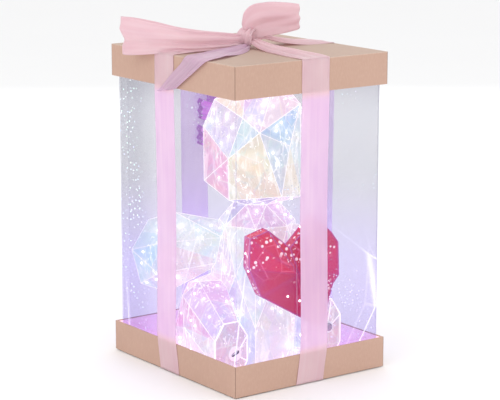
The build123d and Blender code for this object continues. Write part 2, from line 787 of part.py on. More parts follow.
light_routes = {
    "torso_lights": ([
        (3, -27, board_top), (3, -27, 40), (-24, -30, 50), (-20, 4, 60), (22, 8, 70), (34, -20, 80),
        (6, -42, 90), (-8, -34, 100), (-4, 14, 112), (18, 4, 122), (22, -22, 130), (-4, -26, 138),
    ], 1),
    "head_lights": ([
        (torso_x, torso_y, board_top), (torso_x, torso_y, 172), (-20, -16, 184), (-22, 10, 196),
        (16, 28, 204), (38, 0, 214), (18, -36, 222), (-14, -30, 232), (-12, 6, 240), (20, 6, 250),
        (16, -20, 254),
    ], 1),
    "spread_arm_lights": ([
        (-19, -12, board_top), (-19, -12, 98), (-22, 2, arm_passage_z), (-50, 30, arm_passage_z),
        (-60, 50, 96), (-48, 66, 84), (-58, 76, 104),
    ], 2),
    "heart_lights": ([
        (heart_passage_x, -22, board_top), (heart_passage_x, -22, heart_passage_z),
        (heart_passage_x, -81, heart_passage_z), (2, -79, 100), (-22, -74, 112), (-16, -76, 90),
        (10, -80.5, 74),
    ], 2),
    "socket_leg_lights": ([
        (-20, -3, board_top), (-20, -3, passage_z), (-52, -3, passage_z), (-60, -24, 52),
        (-50, -38, 44), (-64, -44, 36),
    ], 2),
    "button_leg_lights": ([
        (25, -3, board_top), (25, -3, passage_z), (48, -3, passage_z), (60, -20, 58),
        (44, -34, 60), (58, -44, 50),
    ], 2),
}
for string_name, (route, skip) in light_routes.items():
    run_wire(f"{string_name}_wire", route, wire, 2.5)
    thread_beads(f"{string_name}_beads", route, skip)
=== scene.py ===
"""Looks for the light-up film bear in its ribbon-tied display case.

Metres, +Z up, the middle of the tray's underside at the origin. The bear faces the -Y window.
"""

import json
import random
from math import ceil, cos, exp, pi, radians, sin

import bmesh
import bpy
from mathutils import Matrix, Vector, noise


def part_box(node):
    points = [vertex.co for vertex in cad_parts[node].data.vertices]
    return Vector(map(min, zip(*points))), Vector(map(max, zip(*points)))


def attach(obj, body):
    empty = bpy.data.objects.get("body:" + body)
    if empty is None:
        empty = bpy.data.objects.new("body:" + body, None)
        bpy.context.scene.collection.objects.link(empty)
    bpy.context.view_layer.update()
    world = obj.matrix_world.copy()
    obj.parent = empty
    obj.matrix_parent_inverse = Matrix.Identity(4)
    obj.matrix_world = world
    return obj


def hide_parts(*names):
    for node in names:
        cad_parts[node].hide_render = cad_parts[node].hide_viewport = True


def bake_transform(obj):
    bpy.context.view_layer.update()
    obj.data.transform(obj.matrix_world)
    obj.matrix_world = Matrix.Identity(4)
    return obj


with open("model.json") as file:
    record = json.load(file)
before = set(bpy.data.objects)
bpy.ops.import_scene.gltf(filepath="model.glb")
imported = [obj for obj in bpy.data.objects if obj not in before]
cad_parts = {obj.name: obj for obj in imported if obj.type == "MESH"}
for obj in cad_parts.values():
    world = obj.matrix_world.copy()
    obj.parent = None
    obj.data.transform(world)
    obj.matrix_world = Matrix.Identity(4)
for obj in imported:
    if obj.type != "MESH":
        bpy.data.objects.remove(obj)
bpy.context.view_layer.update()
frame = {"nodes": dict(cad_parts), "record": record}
nodes = frame["nodes"]
MM = 0.001

tray_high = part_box("base_tray")[1]
lid_low, lid_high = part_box("lid")
sleeve_low, sleeve_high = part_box("display_sleeve")
left_strap_low, left_strap_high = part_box("ribbon_strap_left")
right_strap_low, right_strap_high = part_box("ribbon_strap_right")
front_strap_low, front_strap_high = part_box("ribbon_strap_front")
rear_strap_low, rear_strap_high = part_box("ribbon_strap_rear")
curl_low, curl_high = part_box("bow_tail_rear")

RIBBON_THICKNESS = 0.35 * MM
PLEATS = 3                  # folds across a ribbon where it is drawn together
RIBBON_WIDTH = left_strap_high.y - left_strap_low.y
LID_TOP = lid_high.z
FLOOR_Z = -1.0 * MM


# ---------------------------------------------------------------- material helpers
class Amount:
    """A value that a finish's nodes work out. Arithmetic on it adds Math nodes."""

    def __init__(self, finish, socket):
        self.finish = finish
        self.socket = socket

    def math(self, operation, first, second=0.0):
        return self.finish.add("ShaderNodeMath", {"operation": operation}, {0: first, 1: second})

    def __add__(self, other):
        return self.math("ADD", self, other)

    def __sub__(self, other):
        return self.math("SUBTRACT", self, other)

    def __rsub__(self, other):
        return self.math("SUBTRACT", other, self)

    def __mul__(self, other):
        return self.math("MULTIPLY", self, other)

    def __truediv__(self, other):
        return self.math("DIVIDE", self, other)

    def __pow__(self, other):
        return self.math("POWER", self, other)

    def __abs__(self):
        return self.math("ABSOLUTE", self)

    __radd__ = __add__
    __rmul__ = __mul__

    def sine(self):
        return self.math("SINE", self)

    def limit(self):
        """Held between 0 and 1."""
        return self.finish.add("ShaderNodeClamp", {}, {0: self})

    def step(self, low, high, start=0.0, end=1.0):
        """start below low and end above high, smooth between."""
        settings = {"interpolation_type": "SMOOTHSTEP"}
        sockets = {0: self, 1: low, 2: high, 3: start, 4: end}
        return self.finish.add("ShaderNodeMapRange", settings, sockets)


class Finish:
    """A material and its nodes."""

    def __init__(self, name):
        self.material = bpy.data.materials.new(name)
        self.material.use_nodes = True
        self.tree = self.material.node_tree
        self.tree.nodes.clear()
        self.place = self.add("ShaderNodeTexCoord", {}, {}, "Object")

    def add(self, kind, settings, sockets, out=0):
        """A node of any kind: its settings first, then its sockets' values or links."""
        node = self.tree.nodes.new(kind)
        for name, value in settings.items():
            if name == "stops":
                set_stops(node.color_ramp, value)
            else:
                setattr(node, name, value)
        for name, value in sockets.items():
            if isinstance(value, Amount):
                self.tree.links.new(value.socket, node.inputs[name])
            else:
                node.inputs[name].default_value = value
        return Amount(self, node.outputs[out] if len(node.outputs) else None)

    def blend(self, factor, first, second, how="MIX"):
        """Two colours mixed by a factor."""
        settings = {"data_type": "RGBA", "blend_type": how}
        return self.add("ShaderNodeMix", settings, {0: factor, 6: first, 7: second}, 2)

    def ramp(self, factor, *stops):
        """A colour ramp. Each stop is a place and a colour."""
        return self.add("ShaderNodeValToRGB", {"stops": stops}, {0: factor})

    def axis(self, name):
        return self.add("ShaderNodeSeparateXYZ", {}, {0: self.place}, name)

    def stretched(self, stretch):
        return self.add("ShaderNodeMapping", {}, {0: self.place, "Scale": stretch})

    def grain(self, scale, detail=3.0, stretch=(1, 1, 1), distortion=0.0, out=0):
        """Soft noise, 0 to 1, stretched along the axes."""
        sockets = {"Vector": self.stretched(stretch), "Scale": scale, "Detail": detail,
                   "Distortion": distortion}
        return self.add("ShaderNodeTexNoise", {}, sockets, out)

    def cells(self, scale, feature="F1", out=0, stretch=(1, 1, 1)):
        """Cells about random points: the distance, or with out=1 a colour for each cell."""
        sockets = {"Vector": self.stretched(stretch), "Scale": scale}
        return self.add("ShaderNodeTexVoronoi", {"feature": feature}, sockets, out)

    def bump(self, height, strength, distance=0.2 * MM):
        sockets = {"Height": height, "Strength": strength, "Distance": distance}
        return self.add("ShaderNodeBump", {}, sockets)

    def attribute(self, name, out="Color"):
        return self.add("ShaderNodeAttribute", {"attribute_name": name}, {}, out)

    def principled(self, sockets):
        return self.add("ShaderNodeBsdfPrincipled", {}, sockets)

    def done(self, surface):
        self.add("ShaderNodeOutputMaterial", {}, {"Surface": surface})
        return self.material


def set_stops(ramp, stops):
    while len(ramp.elements) < len(stops):
        ramp.elements.new(0.5)
    for element, (place, colour) in zip(ramp.elements, stops):
        element.position = place
        element.color = (*colour, 1.0)


def rgba(colour):
    return (*colour, 1.0)


# ---------------------------------------------------------------- finishes of the case
def wrapped_card():
    """Rose-beige paper wrapped over card, with dark folded edges; the lid's top is painted a darker taupe as
    shade.
    """
    f = Finish("wrapped_card")
    x, y, z = abs(f.axis("X")), abs(f.axis("Y")), f.axis("Z")
    fibre = f.grain(700, 4, (1, 1, 0.35))
    cloud = f.grain(14, 2)
    side = f.blend(cloud, rgba((0.50, 0.315, 0.24)), rgba((0.57, 0.365, 0.285)))
    # Painted shade: the lid's top gets a darker taupe than the sides, for how light falls on it.
    top = f.blend(cloud, rgba((0.42, 0.30, 0.24)), rgba((0.49, 0.35, 0.28)))
    painted_shade_on_top = z.step(LID_TOP - 0.5 * MM, LID_TOP - 0.1 * MM)
    colour = f.blend(painted_shade_on_top, side, top)
    colour = f.blend(fibre.step(0.35, 0.75) * 0.10, colour, rgba((0.86, 0.68, 0.55)))
    corner = x.step(lid_high.x - 0.9 * MM, lid_high.x) * y.step(lid_high.y - 0.9 * MM, lid_high.y)
    colour = f.blend(corner * 0.8, colour, rgba((0.20, 0.12, 0.09)))
    rim = x.step(lid_high.x - 1.1 * MM, lid_high.x) + y.step(lid_high.y - 1.1 * MM, lid_high.y)
    worn = (rim * z.step(LID_TOP - 1.2 * MM, LID_TOP)).limit() * fibre
    colour = f.blend(worn * 0.5, colour, rgba((0.90, 0.78, 0.66)))
    rough = fibre.step(0.2, 0.8, 0.55, 0.8)
    return f.done(f.principled({
        "Base Color": colour, "Roughness": rough, "Specular IOR Level": 0.35,
        "Normal": f.bump(fibre, 0.15, 0.05 * MM),
    }))


def lining_card():
    """Smooth lilac lining with a painted glow standing in for the bear's light falling on it."""
    f = Finish("white_card")
    fibre = f.grain(500, 3)
    cloud = f.grain(22, 3, distortion=0.6)
    colour = f.ramp(cloud, (0.25, (0.90, 0.58, 0.68)), (0.5, (0.94, 0.68, 0.74)), (0.75, (0.90, 0.64, 0.80)))
    # The emission is painted glow, not a lamp.
    return f.done(f.principled({
        "Base Color": colour, "Roughness": fibre.step(0.2, 0.8, 0.35, 0.55),
        "Emission Color": colour, "Emission Strength": 0.62, "Normal": f.bump(fibre, 0.15, 0.05 * MM),
    }))


def clear_film():
    """The sleeve: clear sheet with gloss, painted folded reflections, painted glints and a faint painted
    glow; the rear walls carry a painted grey shade.
    """
    f = Finish("clear_sleeve")
    across, deep, z = f.axis("X"), f.axis("Y"), f.axis("Z")
    low = (z + f.grain(9, 2, distortion=1.0) * 0.03).step(0.10, 0.21, 1.0, 0.0)
    # Painted shade: the rear walls get more haze and grey out what lies behind them.
    rear = across.step(sleeve_high.x - 1.4 * MM, sleeve_high.x - 1.1 * MM)
    rear = (rear + deep.step(sleeve_high.y - 1.4 * MM, sleeve_high.y - 1.1 * MM)).limit()
    # The left rear corner gets denser painted glints, more haze and painted shade.
    corner = across.step(sleeve_low.x + 0.8 * MM, sleeve_low.x + 1.2 * MM, 1.0, 0.0) * deep.step(0.03, 0.07)
    tint = f.blend(low, rgba((0.30, 0.30, 0.40)), rgba((0.46, 0.36, 0.86)))
    # Painted reflections: white arcs along cell edges, in the lower walls.
    painted_reflection_cells = f.cells(12, "DISTANCE_TO_EDGE", 0, (1.0, 1.0, 0.6))
    line = painted_reflection_cells.step(0.0, 0.013, 1.0, 0.0) * low * f.grain(9, 2).step(0.36, 0.56)
    # Painted glints: small coloured sparks over the walls.
    glint_cells = f.cells(240)
    glint_field = f.grain(12, 3).step(0.50, 0.66) * 0.6 + corner * f.grain(20, 2).step(0.36, 0.56)
    glint = glint_cells.step(0.10, 0.26, 1.0, 0.0) * glint_field.limit()
    hue = f.cells(240, "F1", 1)
    glint_colour = f.blend(0.40, hue, rgba((0.45, 0.95, 0.90)))
    fold_x = abs(across).step(sleeve_high.x - 1.0 * MM, sleeve_high.x - 0.3 * MM)
    fold_y = abs(deep).step(sleeve_high.y - 1.0 * MM, sleeve_high.y - 0.3 * MM)
    fold = (fold_x * fold_y).limit()
    haze = 0.022 + low * 0.012 + f.grain(6, 2, distortion=1.2).step(0.35, 0.7) * 0.04 + rear * 0.05
    haze = haze + corner * f.grain(30, 3).step(0.4, 0.7) * 0.10
    alpha = (haze + line * 0.26 + glint * 0.80 + fold * 0.38).limit()
    # Painted glow: the sheet emits half its tint, white on the painted reflections, coloured on the glints.
    painted_sheet_glow = f.blend(0.5, tint, rgba((0, 0, 0)))
    glow = f.blend(glint, f.blend(line * 0.6, painted_sheet_glow, rgba((1, 1, 1))), glint_colour)
    colour = f.blend((line + glint).limit(), tint, rgba((0.92, 0.97, 1.0)))
    colour = f.blend(fold, colour, rgba((0.36, 0.33, 0.50)))
    sheet = f.principled({
        "Base Color": colour, "Roughness": 0.08, "Alpha": alpha,
        "Emission Color": glow, "Emission Strength": 0.9,
    })
    # Painted shade: the rear walls and the left rear corner grey what lies behind them, lilac towards the
    # bottom.
    painted_grey_shade_veil = f.add("ShaderNodeBsdfTransparent", {}, {"Color": (0.75, 0.75, 0.78, 1.0)})
    lilac_veil = f.add("ShaderNodeBsdfTransparent", {}, {"Color": (0.80, 0.77, 0.91, 1.0)})
    painted_veil = f.add("ShaderNodeMixShader", {}, {0: low, 1: painted_grey_shade_veil, 2: lilac_veil})
    painted_veil_share = (rear * 0.85 + corner * 0.40 + low * 0.05).limit() * (alpha * -1.0 + 1.0)
    sheet = f.add("ShaderNodeMixShader", {}, {0: painted_veil_share, 1: sheet, 2: painted_veil})
    gloss = f.add("ShaderNodeBsdfGlossy", {}, {"Color": (0.93, 0.93, 1.0, 1.0), "Roughness": 0.04})
    facing = f.add("ShaderNodeLayerWeight", {}, {"Blend": 0.5}, "Facing")
    mirror = (facing ** 5) * 0.4 + 0.015
    return f.done(f.add("ShaderNodeMixShader", {}, {0: mirror, 1: sheet, 2: gloss}))


def satin_ribbon(name, shade, deep, lift=0.14, lit_shade=(0.80, 0.62, 0.86), lit_deep=(0.74, 0.54, 0.82)):
    """Thin pink satin: fine weave on its own UV map, long soft streaks, a denser selvedge; painted glow
    lightens it between tray and lid, and its emission paints a faint glow all over.
    """
    f = Finish(name)
    uv = f.add("ShaderNodeUVMap", {"uv_map": "ribbon"}, {})
    across = f.add("ShaderNodeSeparateXYZ", {}, {0: uv}, "X")
    along = f.add("ShaderNodeSeparateXYZ", {}, {0: uv}, "Y")
    warp = (across * (2 * pi / (0.55 * MM))).sine()
    weft = (along * (2 * pi / (0.45 * MM))).sine()
    weave = (warp * 0.6 + weft * 0.4) * 0.5 + 0.5
    streak_place = f.add("ShaderNodeMapping", {}, {0: uv, "Scale": (260, 7, 1)})
    streak = f.add("ShaderNodeTexNoise", {}, {"Vector": streak_place, "Scale": 1.0, "Detail": 3.0})
    cloud_place = f.add("ShaderNodeMapping", {}, {0: uv, "Scale": (60, 22, 1)})
    cloud = f.add("ShaderNodeTexNoise", {}, {"Vector": cloud_place, "Scale": 1.0, "Detail": 2.0})
    middle = abs(across - RIBBON_WIDTH / 2)
    selvedge = middle.step(RIBBON_WIDTH / 2 - 1.3 * MM, RIBBON_WIDTH / 2 - 0.9 * MM)
    height = f.axis("Z")
    # Painted glow: between tray and lid the ribbon takes lighter, more see-through and brighter glowing
    # colours.
    over_tray = height.step(tray_high.z, tray_high.z + 8 * MM)
    lit = over_tray * height.step(lid_low.z - 8 * MM, lid_low.z, 1.0, 0.0)
    shade_here = f.blend(lit, rgba(shade), rgba(lit_shade))
    deep_here = f.blend(lit, rgba(deep), rgba(lit_deep))
    colour = f.blend(cloud.step(0.3, 0.7), shade_here, deep_here)
    colour = f.blend(streak.step(0.4, 0.8) * 0.35, colour, rgba((0.98, 0.90, 0.94)))
    colour = f.blend(selvedge * 0.45, colour, deep_here)
    colour = f.blend(weave * 0.10, colour, rgba((1, 0.97, 0.98)))
    cloth = f.principled({
        "Base Color": colour, "Roughness": streak.step(0.2, 0.8, 0.30, 0.48), "Sheen Weight": 0.35,
        "Sheen Roughness": 0.4, "Anisotropic": 0.4, "Specular IOR Level": 0.5,
        "Alpha": (0.76 - lit * 0.14 + selvedge * 0.12).limit(),
        "Normal": f.bump(weave + streak * 1.5, 0.12, 0.05 * MM),
        # Painted glow: the emission, at strength lift, lights every ribbon though none is a lamp.
        "Emission Color": f.blend(lit * 0.6 + 0.4, rgba((0, 0, 0)), colour), "Emission Strength": lift,
    })
    through = f.add("ShaderNodeBsdfTranslucent", {}, {"Color": rgba(shade)})
    return f.done(f.add("ShaderNodeMixShader", {}, {0: 0.30, 1: cloth, 2: through}))


# ---------------------------------------------------------------- finishes of the bear
def iridescent_film(name, strength, plain_tint=None):
    """Glossy film lit from inside: a tint for each facet, the folds behind it, crumples and lights."""
    f = Finish(name)
    tint = rgba(plain_tint) if plain_tint else f.attribute("tint")
    glow = f.attribute("glow", "Fac")
    edge = f.attribute("edge", "Fac")
    drift = f.grain(16, 2, distortion=1.4)
    rainbow = f.ramp(
        drift, (0.28, (1.0, 0.55, 0.84)), (0.38, (0.74, 0.62, 1.0)), (0.47, (0.50, 0.80, 1.0)),
        (0.55, (0.74, 1.0, 0.94)), (0.63, (1.0, 0.93, 0.60)), (0.72, (1.0, 0.64, 0.72)),
    )
    behind = f.add("ShaderNodeSeparateXYZ", {}, {0: f.cells(34, "F1", 1, (1, 1, 0.75))}, "X")
    inner = f.ramp(
        behind, (0.0, (1.0, 0.97, 1.0)), (0.22, (1.0, 0.50, 0.78)), (0.36, (0.96, 0.94, 1.0)),
        (0.52, (0.52, 0.72, 1.0)), (0.64, (1.0, 0.98, 0.92)), (0.78, (0.78, 0.62, 1.0)),
        (0.92, (1.0, 0.86, 0.55)),
    )
    fold_line = f.cells(34, "DISTANCE_TO_EDGE", 0, (1, 1, 0.75)).step(0.0, 0.022, 1.0, 0.0)
    crease = f.cells(85, "DISTANCE_TO_EDGE", 0, (1, 1, 0.6)).step(0.0, 0.06, 1.0, 0.0)
    shade = f.grain(45, 4, distortion=0.9)
    streak = f.grain(70, 3, (1, 1, 0.25), 2.5).step(0.54, 0.66)
    sheet = f.blend(0.22, f.blend(0.22, tint, rainbow), inner)
    sheet = f.blend(shade.step(0.48, 0.78) * 0.30, sheet, rgba((1.0, 0.99, 1.0)))
    sheet = f.blend((fold_line * 0.40 + streak * 0.40).limit(), sheet, rgba((1, 1, 1)))
    sheet = f.blend(crease * f.grain(21, 2).step(0.5, 0.62) * 0.6, sheet, rgba((1, 1, 1)))
    # Painted glints and highlights: white sparkles, and white lines along wrinkles, which also brighten the
    # emission.
    painted_glints = f.cells(300).step(0.10, 0.22, 1.0, 0.0) * f.grain(33, 2).step(0.54, 0.62)
    wrinkle_highlight = f.grain(120, 2, (1, 1, 0.4), 3.0).step(0.60, 0.66) * f.grain(30, 2).step(0.48, 0.58)
    sheet = f.blend(f.grain(48, 2, distortion=2.0).step(0.56, 0.64) * 0.22, sheet, rainbow)
    sheet = f.blend((painted_glints + wrinkle_highlight * 0.6 + edge * 0.3).limit(), sheet, rgba((1, 1, 1)))
    lit = f.blend(glow.limit(), sheet, rgba((1.0, 1.0, 1.0)))
    bright = glow + painted_glints * 0.8 + wrinkle_highlight * 0.7 + streak * 0.25 + shade.step(0.4, 0.8) * 0.3
    power = f.blend(bright.limit(), rgba((0.58, 0.58, 0.58)), rgba((1, 1, 1)))
    light = f.blend(1.0, lit, power, "MULTIPLY")
    body = f.blend(0.66, sheet, rgba((0.0, 0.0, 0.0)))
    return f.done(f.principled({
        "Base Color": body, "Roughness": shade.step(0.3, 0.7, 0.10, 0.22), "Coat Weight": 0.6,
        "Coat Roughness": 0.04, "Emission Color": light, "Emission Strength": strength,
        "Specular IOR Level": 0.7, "Normal": f.bump(shade + crease * 0.5, 0.5, 0.8 * MM),
    }))


def heart_film():
    """Crimson translucent film with painted glints, darker in its folds with painted shade, and pinker where
    light falls through.
    """
    f = Finish("heart_film")
    tint = f.attribute("tint")
    edge = f.attribute("edge", "Fac")
    glow = f.attribute("glow", "Fac")
    cloud = f.grain(24, 3, distortion=1.2)
    colour = f.blend(cloud.step(0.4, 0.7) * 0.5, tint, rgba((0.40, 0.006, 0.16)))
    crease = f.cells(46, "DISTANCE_TO_EDGE").step(0.0, 0.035, 1.0, 0.0) * f.grain(17, 2).step(0.48, 0.6)
    colour = f.blend(crease * 0.3, colour, rgba((0.9, 0.25, 0.45)))
    # Painted glints: pale pink sparkles over the film.
    painted_glints = f.cells(300).step(0.10, 0.26, 1.0, 0.0) * f.grain(36, 2).step(0.56, 0.66)
    painted_glint_flakes = f.cells(200).step(0.26, 0.36, 1.0, 0.0) * f.grain(30, 2).step(0.50, 0.58)
    colour = f.blend((painted_glints + painted_glint_flakes * 0.8).limit(), colour, rgba((1.0, 0.86, 0.92)))
    # Painted shade: darker crimson along the facet edges, where the film folds.
    colour = f.blend(edge * 0.28, colour, rgba((0.35, 0.03, 0.20)))
    lit = f.blend((glow * 0.3).limit(), colour, rgba((1.0, 0.50, 0.66)))
    return f.done(f.principled({
        "Base Color": colour, "Roughness": cloud.step(0.3, 0.7, 0.16, 0.30), "Coat Weight": 0.10,
        "Coat Roughness": 0.05, "Emission Color": lit, "Emission Strength": 0.24,
        "Specular IOR Level": 0.12, "Normal": f.bump(cloud + crease, 0.35, 0.6 * MM),
    }))


def lit_line(name, colour, strength):
    """A bright folded seam, uneven along its length."""
    f = Finish(name)
    uneven = f.grain(90, 2).step(0.3, 0.7, 0.55, 1.0)
    light = f.blend(uneven, rgba([0.6 * c for c in colour]), rgba(colour))
    return f.done(f.principled({
        "Base Color": light, "Roughness": 0.2, "Emission Color": light, "Emission Strength": strength,
    }))


# ---------------------------------------------------------------- finishes of the small parts
def plain_part(name, dark, light, scale, rough, metal=0.0, bump=0.1, coat=0.0):
    """Moulded, drawn or printed material with a little grain in colour, gloss and surface."""
    f = Finish(name)
    grain = f.grain(scale, 4)
    blotch = f.grain(scale / 9, 2)
    colour = f.blend((grain * 0.5 + blotch * 0.5).limit(), rgba(dark), rgba(light))
    return f.done(f.principled({
        "Base Color": colour, "Metallic": metal, "Coat Weight": coat,
        "Roughness": blotch.step(0.3, 0.7, rough * 0.8, rough * 1.2),
        "Normal": f.bump(grain, bump, 0.05 * MM),
    }))


def circuit_board():
    """Green lacquer over copper tracks."""
    f = Finish("circuit_board")
    tracks = f.add("ShaderNodeTexBrick", {"offset": 0.5}, {
        "Vector": f.place, "Scale": 260.0, "Mortar Size": 0.03,
        "Color1": (0, 0, 0, 1), "Color2": (0, 0, 0, 1), "Mortar": (1, 1, 1, 1),
    }, "Fac")
    colour = f.blend(tracks * 0.6, rgba((0.015, 0.13, 0.06)), rgba((0.05, 0.30, 0.13)))
    return f.done(f.principled({
        "Base Color": colour, "Roughness": f.grain(300).step(0.3, 0.7, 0.25, 0.4),
        "Coat Weight": 0.4, "Normal": f.bump(tracks, 0.3, 0.04 * MM),
    }))


def turned_metal():
    """Bright grey button with fine turned rings."""
    f = Finish("button_metal")
    low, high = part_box("power_button")
    centre = (low + high) / 2
    spot = f.add("ShaderNodeMapping", {}, {0: f.place, "Location": (-centre.x, 0, -centre.z)})
    flat = f.add("ShaderNodeVectorMath", {"operation": "MULTIPLY"}, {0: spot, 1: (1, 0, 1)})
    radius = f.add("ShaderNodeVectorMath", {"operation": "LENGTH"}, {0: flat}, 1)
    rings = (radius * (2 * pi / (0.45 * MM))).sine() * 0.5 + 0.5
    smear = f.grain(160, 2)
    colour = f.blend((rings * 0.3 + smear * 0.5).limit(), rgba((0.20, 0.19, 0.23)), rgba((0.62, 0.60, 0.68)))
    return f.done(f.principled({
        "Base Color": colour, "Metallic": 0.9, "Roughness": smear.step(0.3, 0.7, 0.22, 0.36),
        "Normal": f.bump(rings, 0.2, 0.05 * MM),
    }))


card_finish = wrapped_card()
lining_finish = lining_card()
sleeve_finish = clear_film()
pink_satin = satin_ribbon("pink_satin", (0.88, 0.67, 0.71), (0.82, 0.58, 0.64), lift=0.17)
lilac_satin = satin_ribbon("lilac_satin", (0.76, 0.54, 0.68), (0.68, 0.46, 0.62))
# Painted glow: the orchid satin's strong emission.
orchid_satin = satin_ribbon(
    "orchid_satin", (0.60, 0.22, 0.72), (0.50, 0.16, 0.64), lift=0.45,
    lit_shade=(0.60, 0.22, 0.72), lit_deep=(0.50, 0.16, 0.64),
)
# Painted glow: a lighter satin with strong emission for the straps on the right and rear walls.
painted_glow_satin = satin_ribbon(
    "painted_glow_satin", (0.84, 0.70, 0.88), (0.76, 0.62, 0.84), lift=0.62,
    lit_shade=(0.86, 0.76, 0.94), lit_deep=(0.78, 0.68, 0.90),
)
bear_film = iridescent_film("iridescent_film", 1.0)
sole_film = iridescent_film("sole_film", 0.72, (0.92, 0.55, 0.80))
red_film = heart_film()
seam_finish = lit_line("seam_glow", (0.97, 0.96, 1.0), 0.45)
heart_seam_finish = lit_line("heart_seam", (0.42, 0.05, 0.26), 0.4)
bead_finish = lit_line("light_bead", (1.0, 1.0, 1.0), 2.6)
white_plastic = plain_part("white_plastic", (0.80, 0.86, 0.87), (0.93, 0.96, 0.96), 900, 0.22, coat=0.4)
black_plastic = plain_part("black_plastic", (0.012, 0.012, 0.014), (0.035, 0.035, 0.04), 1400, 0.5)
drawn_steel = plain_part("socket_steel", (0.02, 0.02, 0.024), (0.05, 0.05, 0.055), 700, 0.35, metal=0.3)
battery_wrap = plain_part("battery_wrap", (0.05, 0.14, 0.42), (0.10, 0.22, 0.55), 500, 0.25, coat=0.5)
white_lead = plain_part("lead_insulation", (0.72, 0.72, 0.74), (0.86, 0.86, 0.86), 600, 0.4)
copper_wire = plain_part("light_wire", (0.62, 0.42, 0.26), (0.85, 0.66, 0.46), 500, 0.3, metal=0.9)
board_finish = circuit_board()
button_finish = turned_metal()

finish_of_slot = {
    "wrapped_card": card_finish, "white_card": lining_finish, "clear_sleeve": sleeve_finish,
    "satin_ribbon": pink_satin, "heart_film": red_film, "iridescent_film": bear_film,
    "white_plastic": white_plastic, "socket_steel": drawn_steel, "button_metal": button_finish,
    "black_plastic": black_plastic, "circuit_board": board_finish, "battery_wrap": battery_wrap,
    "lead_insulation": white_lead, "light_wire": copper_wire, "light_bead": bead_finish,
}
for part in frame["record"]["subparts"]:
    slots = nodes[part["node"]].data.materials
    slots.clear()
    slots.append(finish_of_slot[part["material_slot"]])


# ---------------------------------------------------------------- mesh helpers
def piece(name, spots, faces, finish, body, smooth=True):
    """A new mesh object in place, riding on a body of the frame."""
    mesh = bpy.data.meshes.new(name)
    mesh.from_pydata([tuple(p) for p in spots], [], faces)
    mesh.polygons.foreach_set("use_smooth", [smooth] * len(mesh.polygons))
    mesh.materials.append(finish)
    made = bpy.data.objects.new(name, mesh)
    bpy.context.scene.collection.objects.link(made)
    if body:
        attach(made, body)
    return made


def settle(made):
    """The object's modifiers worked into its mesh."""
    bpy.context.view_layer.update()
    graph = bpy.context.evaluated_depsgraph_get()
    mesh = bpy.data.meshes.new_from_object(made.evaluated_get(graph), depsgraph=graph)
    made.modifiers.clear()
    made.data = mesh
    return made


def smooth_line(places, count):
    """Points spread evenly along a smooth curve through listed points, given in millimetres."""
    spots = [Vector(p) * MM for p in places]
    spots = [2 * spots[0] - spots[1]] + spots + [2 * spots[-1] - spots[-2]]
    fine = []
    for a, b, c, d in zip(spots, spots[1:], spots[2:], spots[3:]):
        for i in range(16):
            t = i / 16
            fine.append(0.5 * (2 * b + (c - a) * t + (2 * a - 5 * b + 4 * c - d) * t**2
                               + (3 * b - a - 3 * c + d) * t**3))
    fine.append(spots[-2])
    reach = [0.0]
    for a, b in zip(fine, fine[1:]):
        reach.append(reach[-1] + (b - a).length)
    line, k = [], 0
    for i in range(count):
        want = reach[-1] * i / (count - 1)
        while k < len(fine) - 2 and reach[k + 1] < want:
            k += 1
        share = (want - reach[k]) / max(reach[k + 1] - reach[k], 1e-9)
        line.append(fine[k].lerp(fine[k + 1], min(share, 1.0)))
    return line


def line_length(line):
    return sum((b - a).length for a, b in zip(line, line[1:]))


def lay_ribbon(name, near_edge, far_edge, finish, body, folds=(), ripple=0.4, across=30, step=2.2,
               gather=1.0):
    """A ribbon between two edges, with soft folds along it and pleats where the edges draw together.

    Each fold is (place across at the start, place across at the end, depth in mm, breadth).
    """
    rough_line = smooth_line(near_edge, 60)
    count = max(12, ceil(line_length(rough_line) / (step * MM)))
    near, far = smooth_line(near_edge, count), smooth_line(far_edge, count)
    seed = sum(map(ord, name)) % 97
    spots, faces, places = [], [], []
    for i in range(count):
        s = i / (count - 1)
        ahead = (near[min(i + 1, count - 1)] + far[min(i + 1, count - 1)]
                 - near[max(i - 1, 0)] - far[max(i - 1, 0)])
        breadth_here = (far[i] - near[i]).length
        normal = ahead.cross(far[i] - near[i]).normalized()
        slack = max(RIBBON_WIDTH / max(breadth_here, 3 * MM) - 1.0, 0.0)
        pleat = gather * min(breadth_here / (PLEATS * pi) * slack ** 0.5, 3.2 * MM) / MM
        for j in range(across + 1):
            u = j / across
            lift = 0.0
            for start, end, depth, breadth in folds:
                centre = start + (end - start) * s
                lift += depth * exp(-(((u - centre) / breadth) ** 2))
            lift += pleat * sin(2 * pi * PLEATS * (u + 0.08 * sin(5 * u)))
            spot = near[i].lerp(far[i], u)
            lift += ripple * noise.noise(Vector((spot * 55).to_tuple()) + Vector((seed, 0, 0)))
            spots.append(spot + normal * lift * MM)
            places.append((u * RIBBON_WIDTH, s * count * step * MM))
    for i in range(count - 1):
        for j in range(across):
            a = i * (across + 1) + j
            faces.append((a, a + 1, a + across + 2, a + across + 1))
    made = piece(name, spots, faces, finish, body)
    layer = made.data.uv_layers.new(name="ribbon")
    for loop in made.data.loops:
        layer.data[loop.index].uv = places[loop.vertex_index]
    wall = made.modifiers.new("wall", "SOLIDIFY")
    wall.thickness = RIBBON_THICKNESS
    wall.offset = 0.0
    settle(made)
    return made, (line_length(near) + line_length(far)) / 2


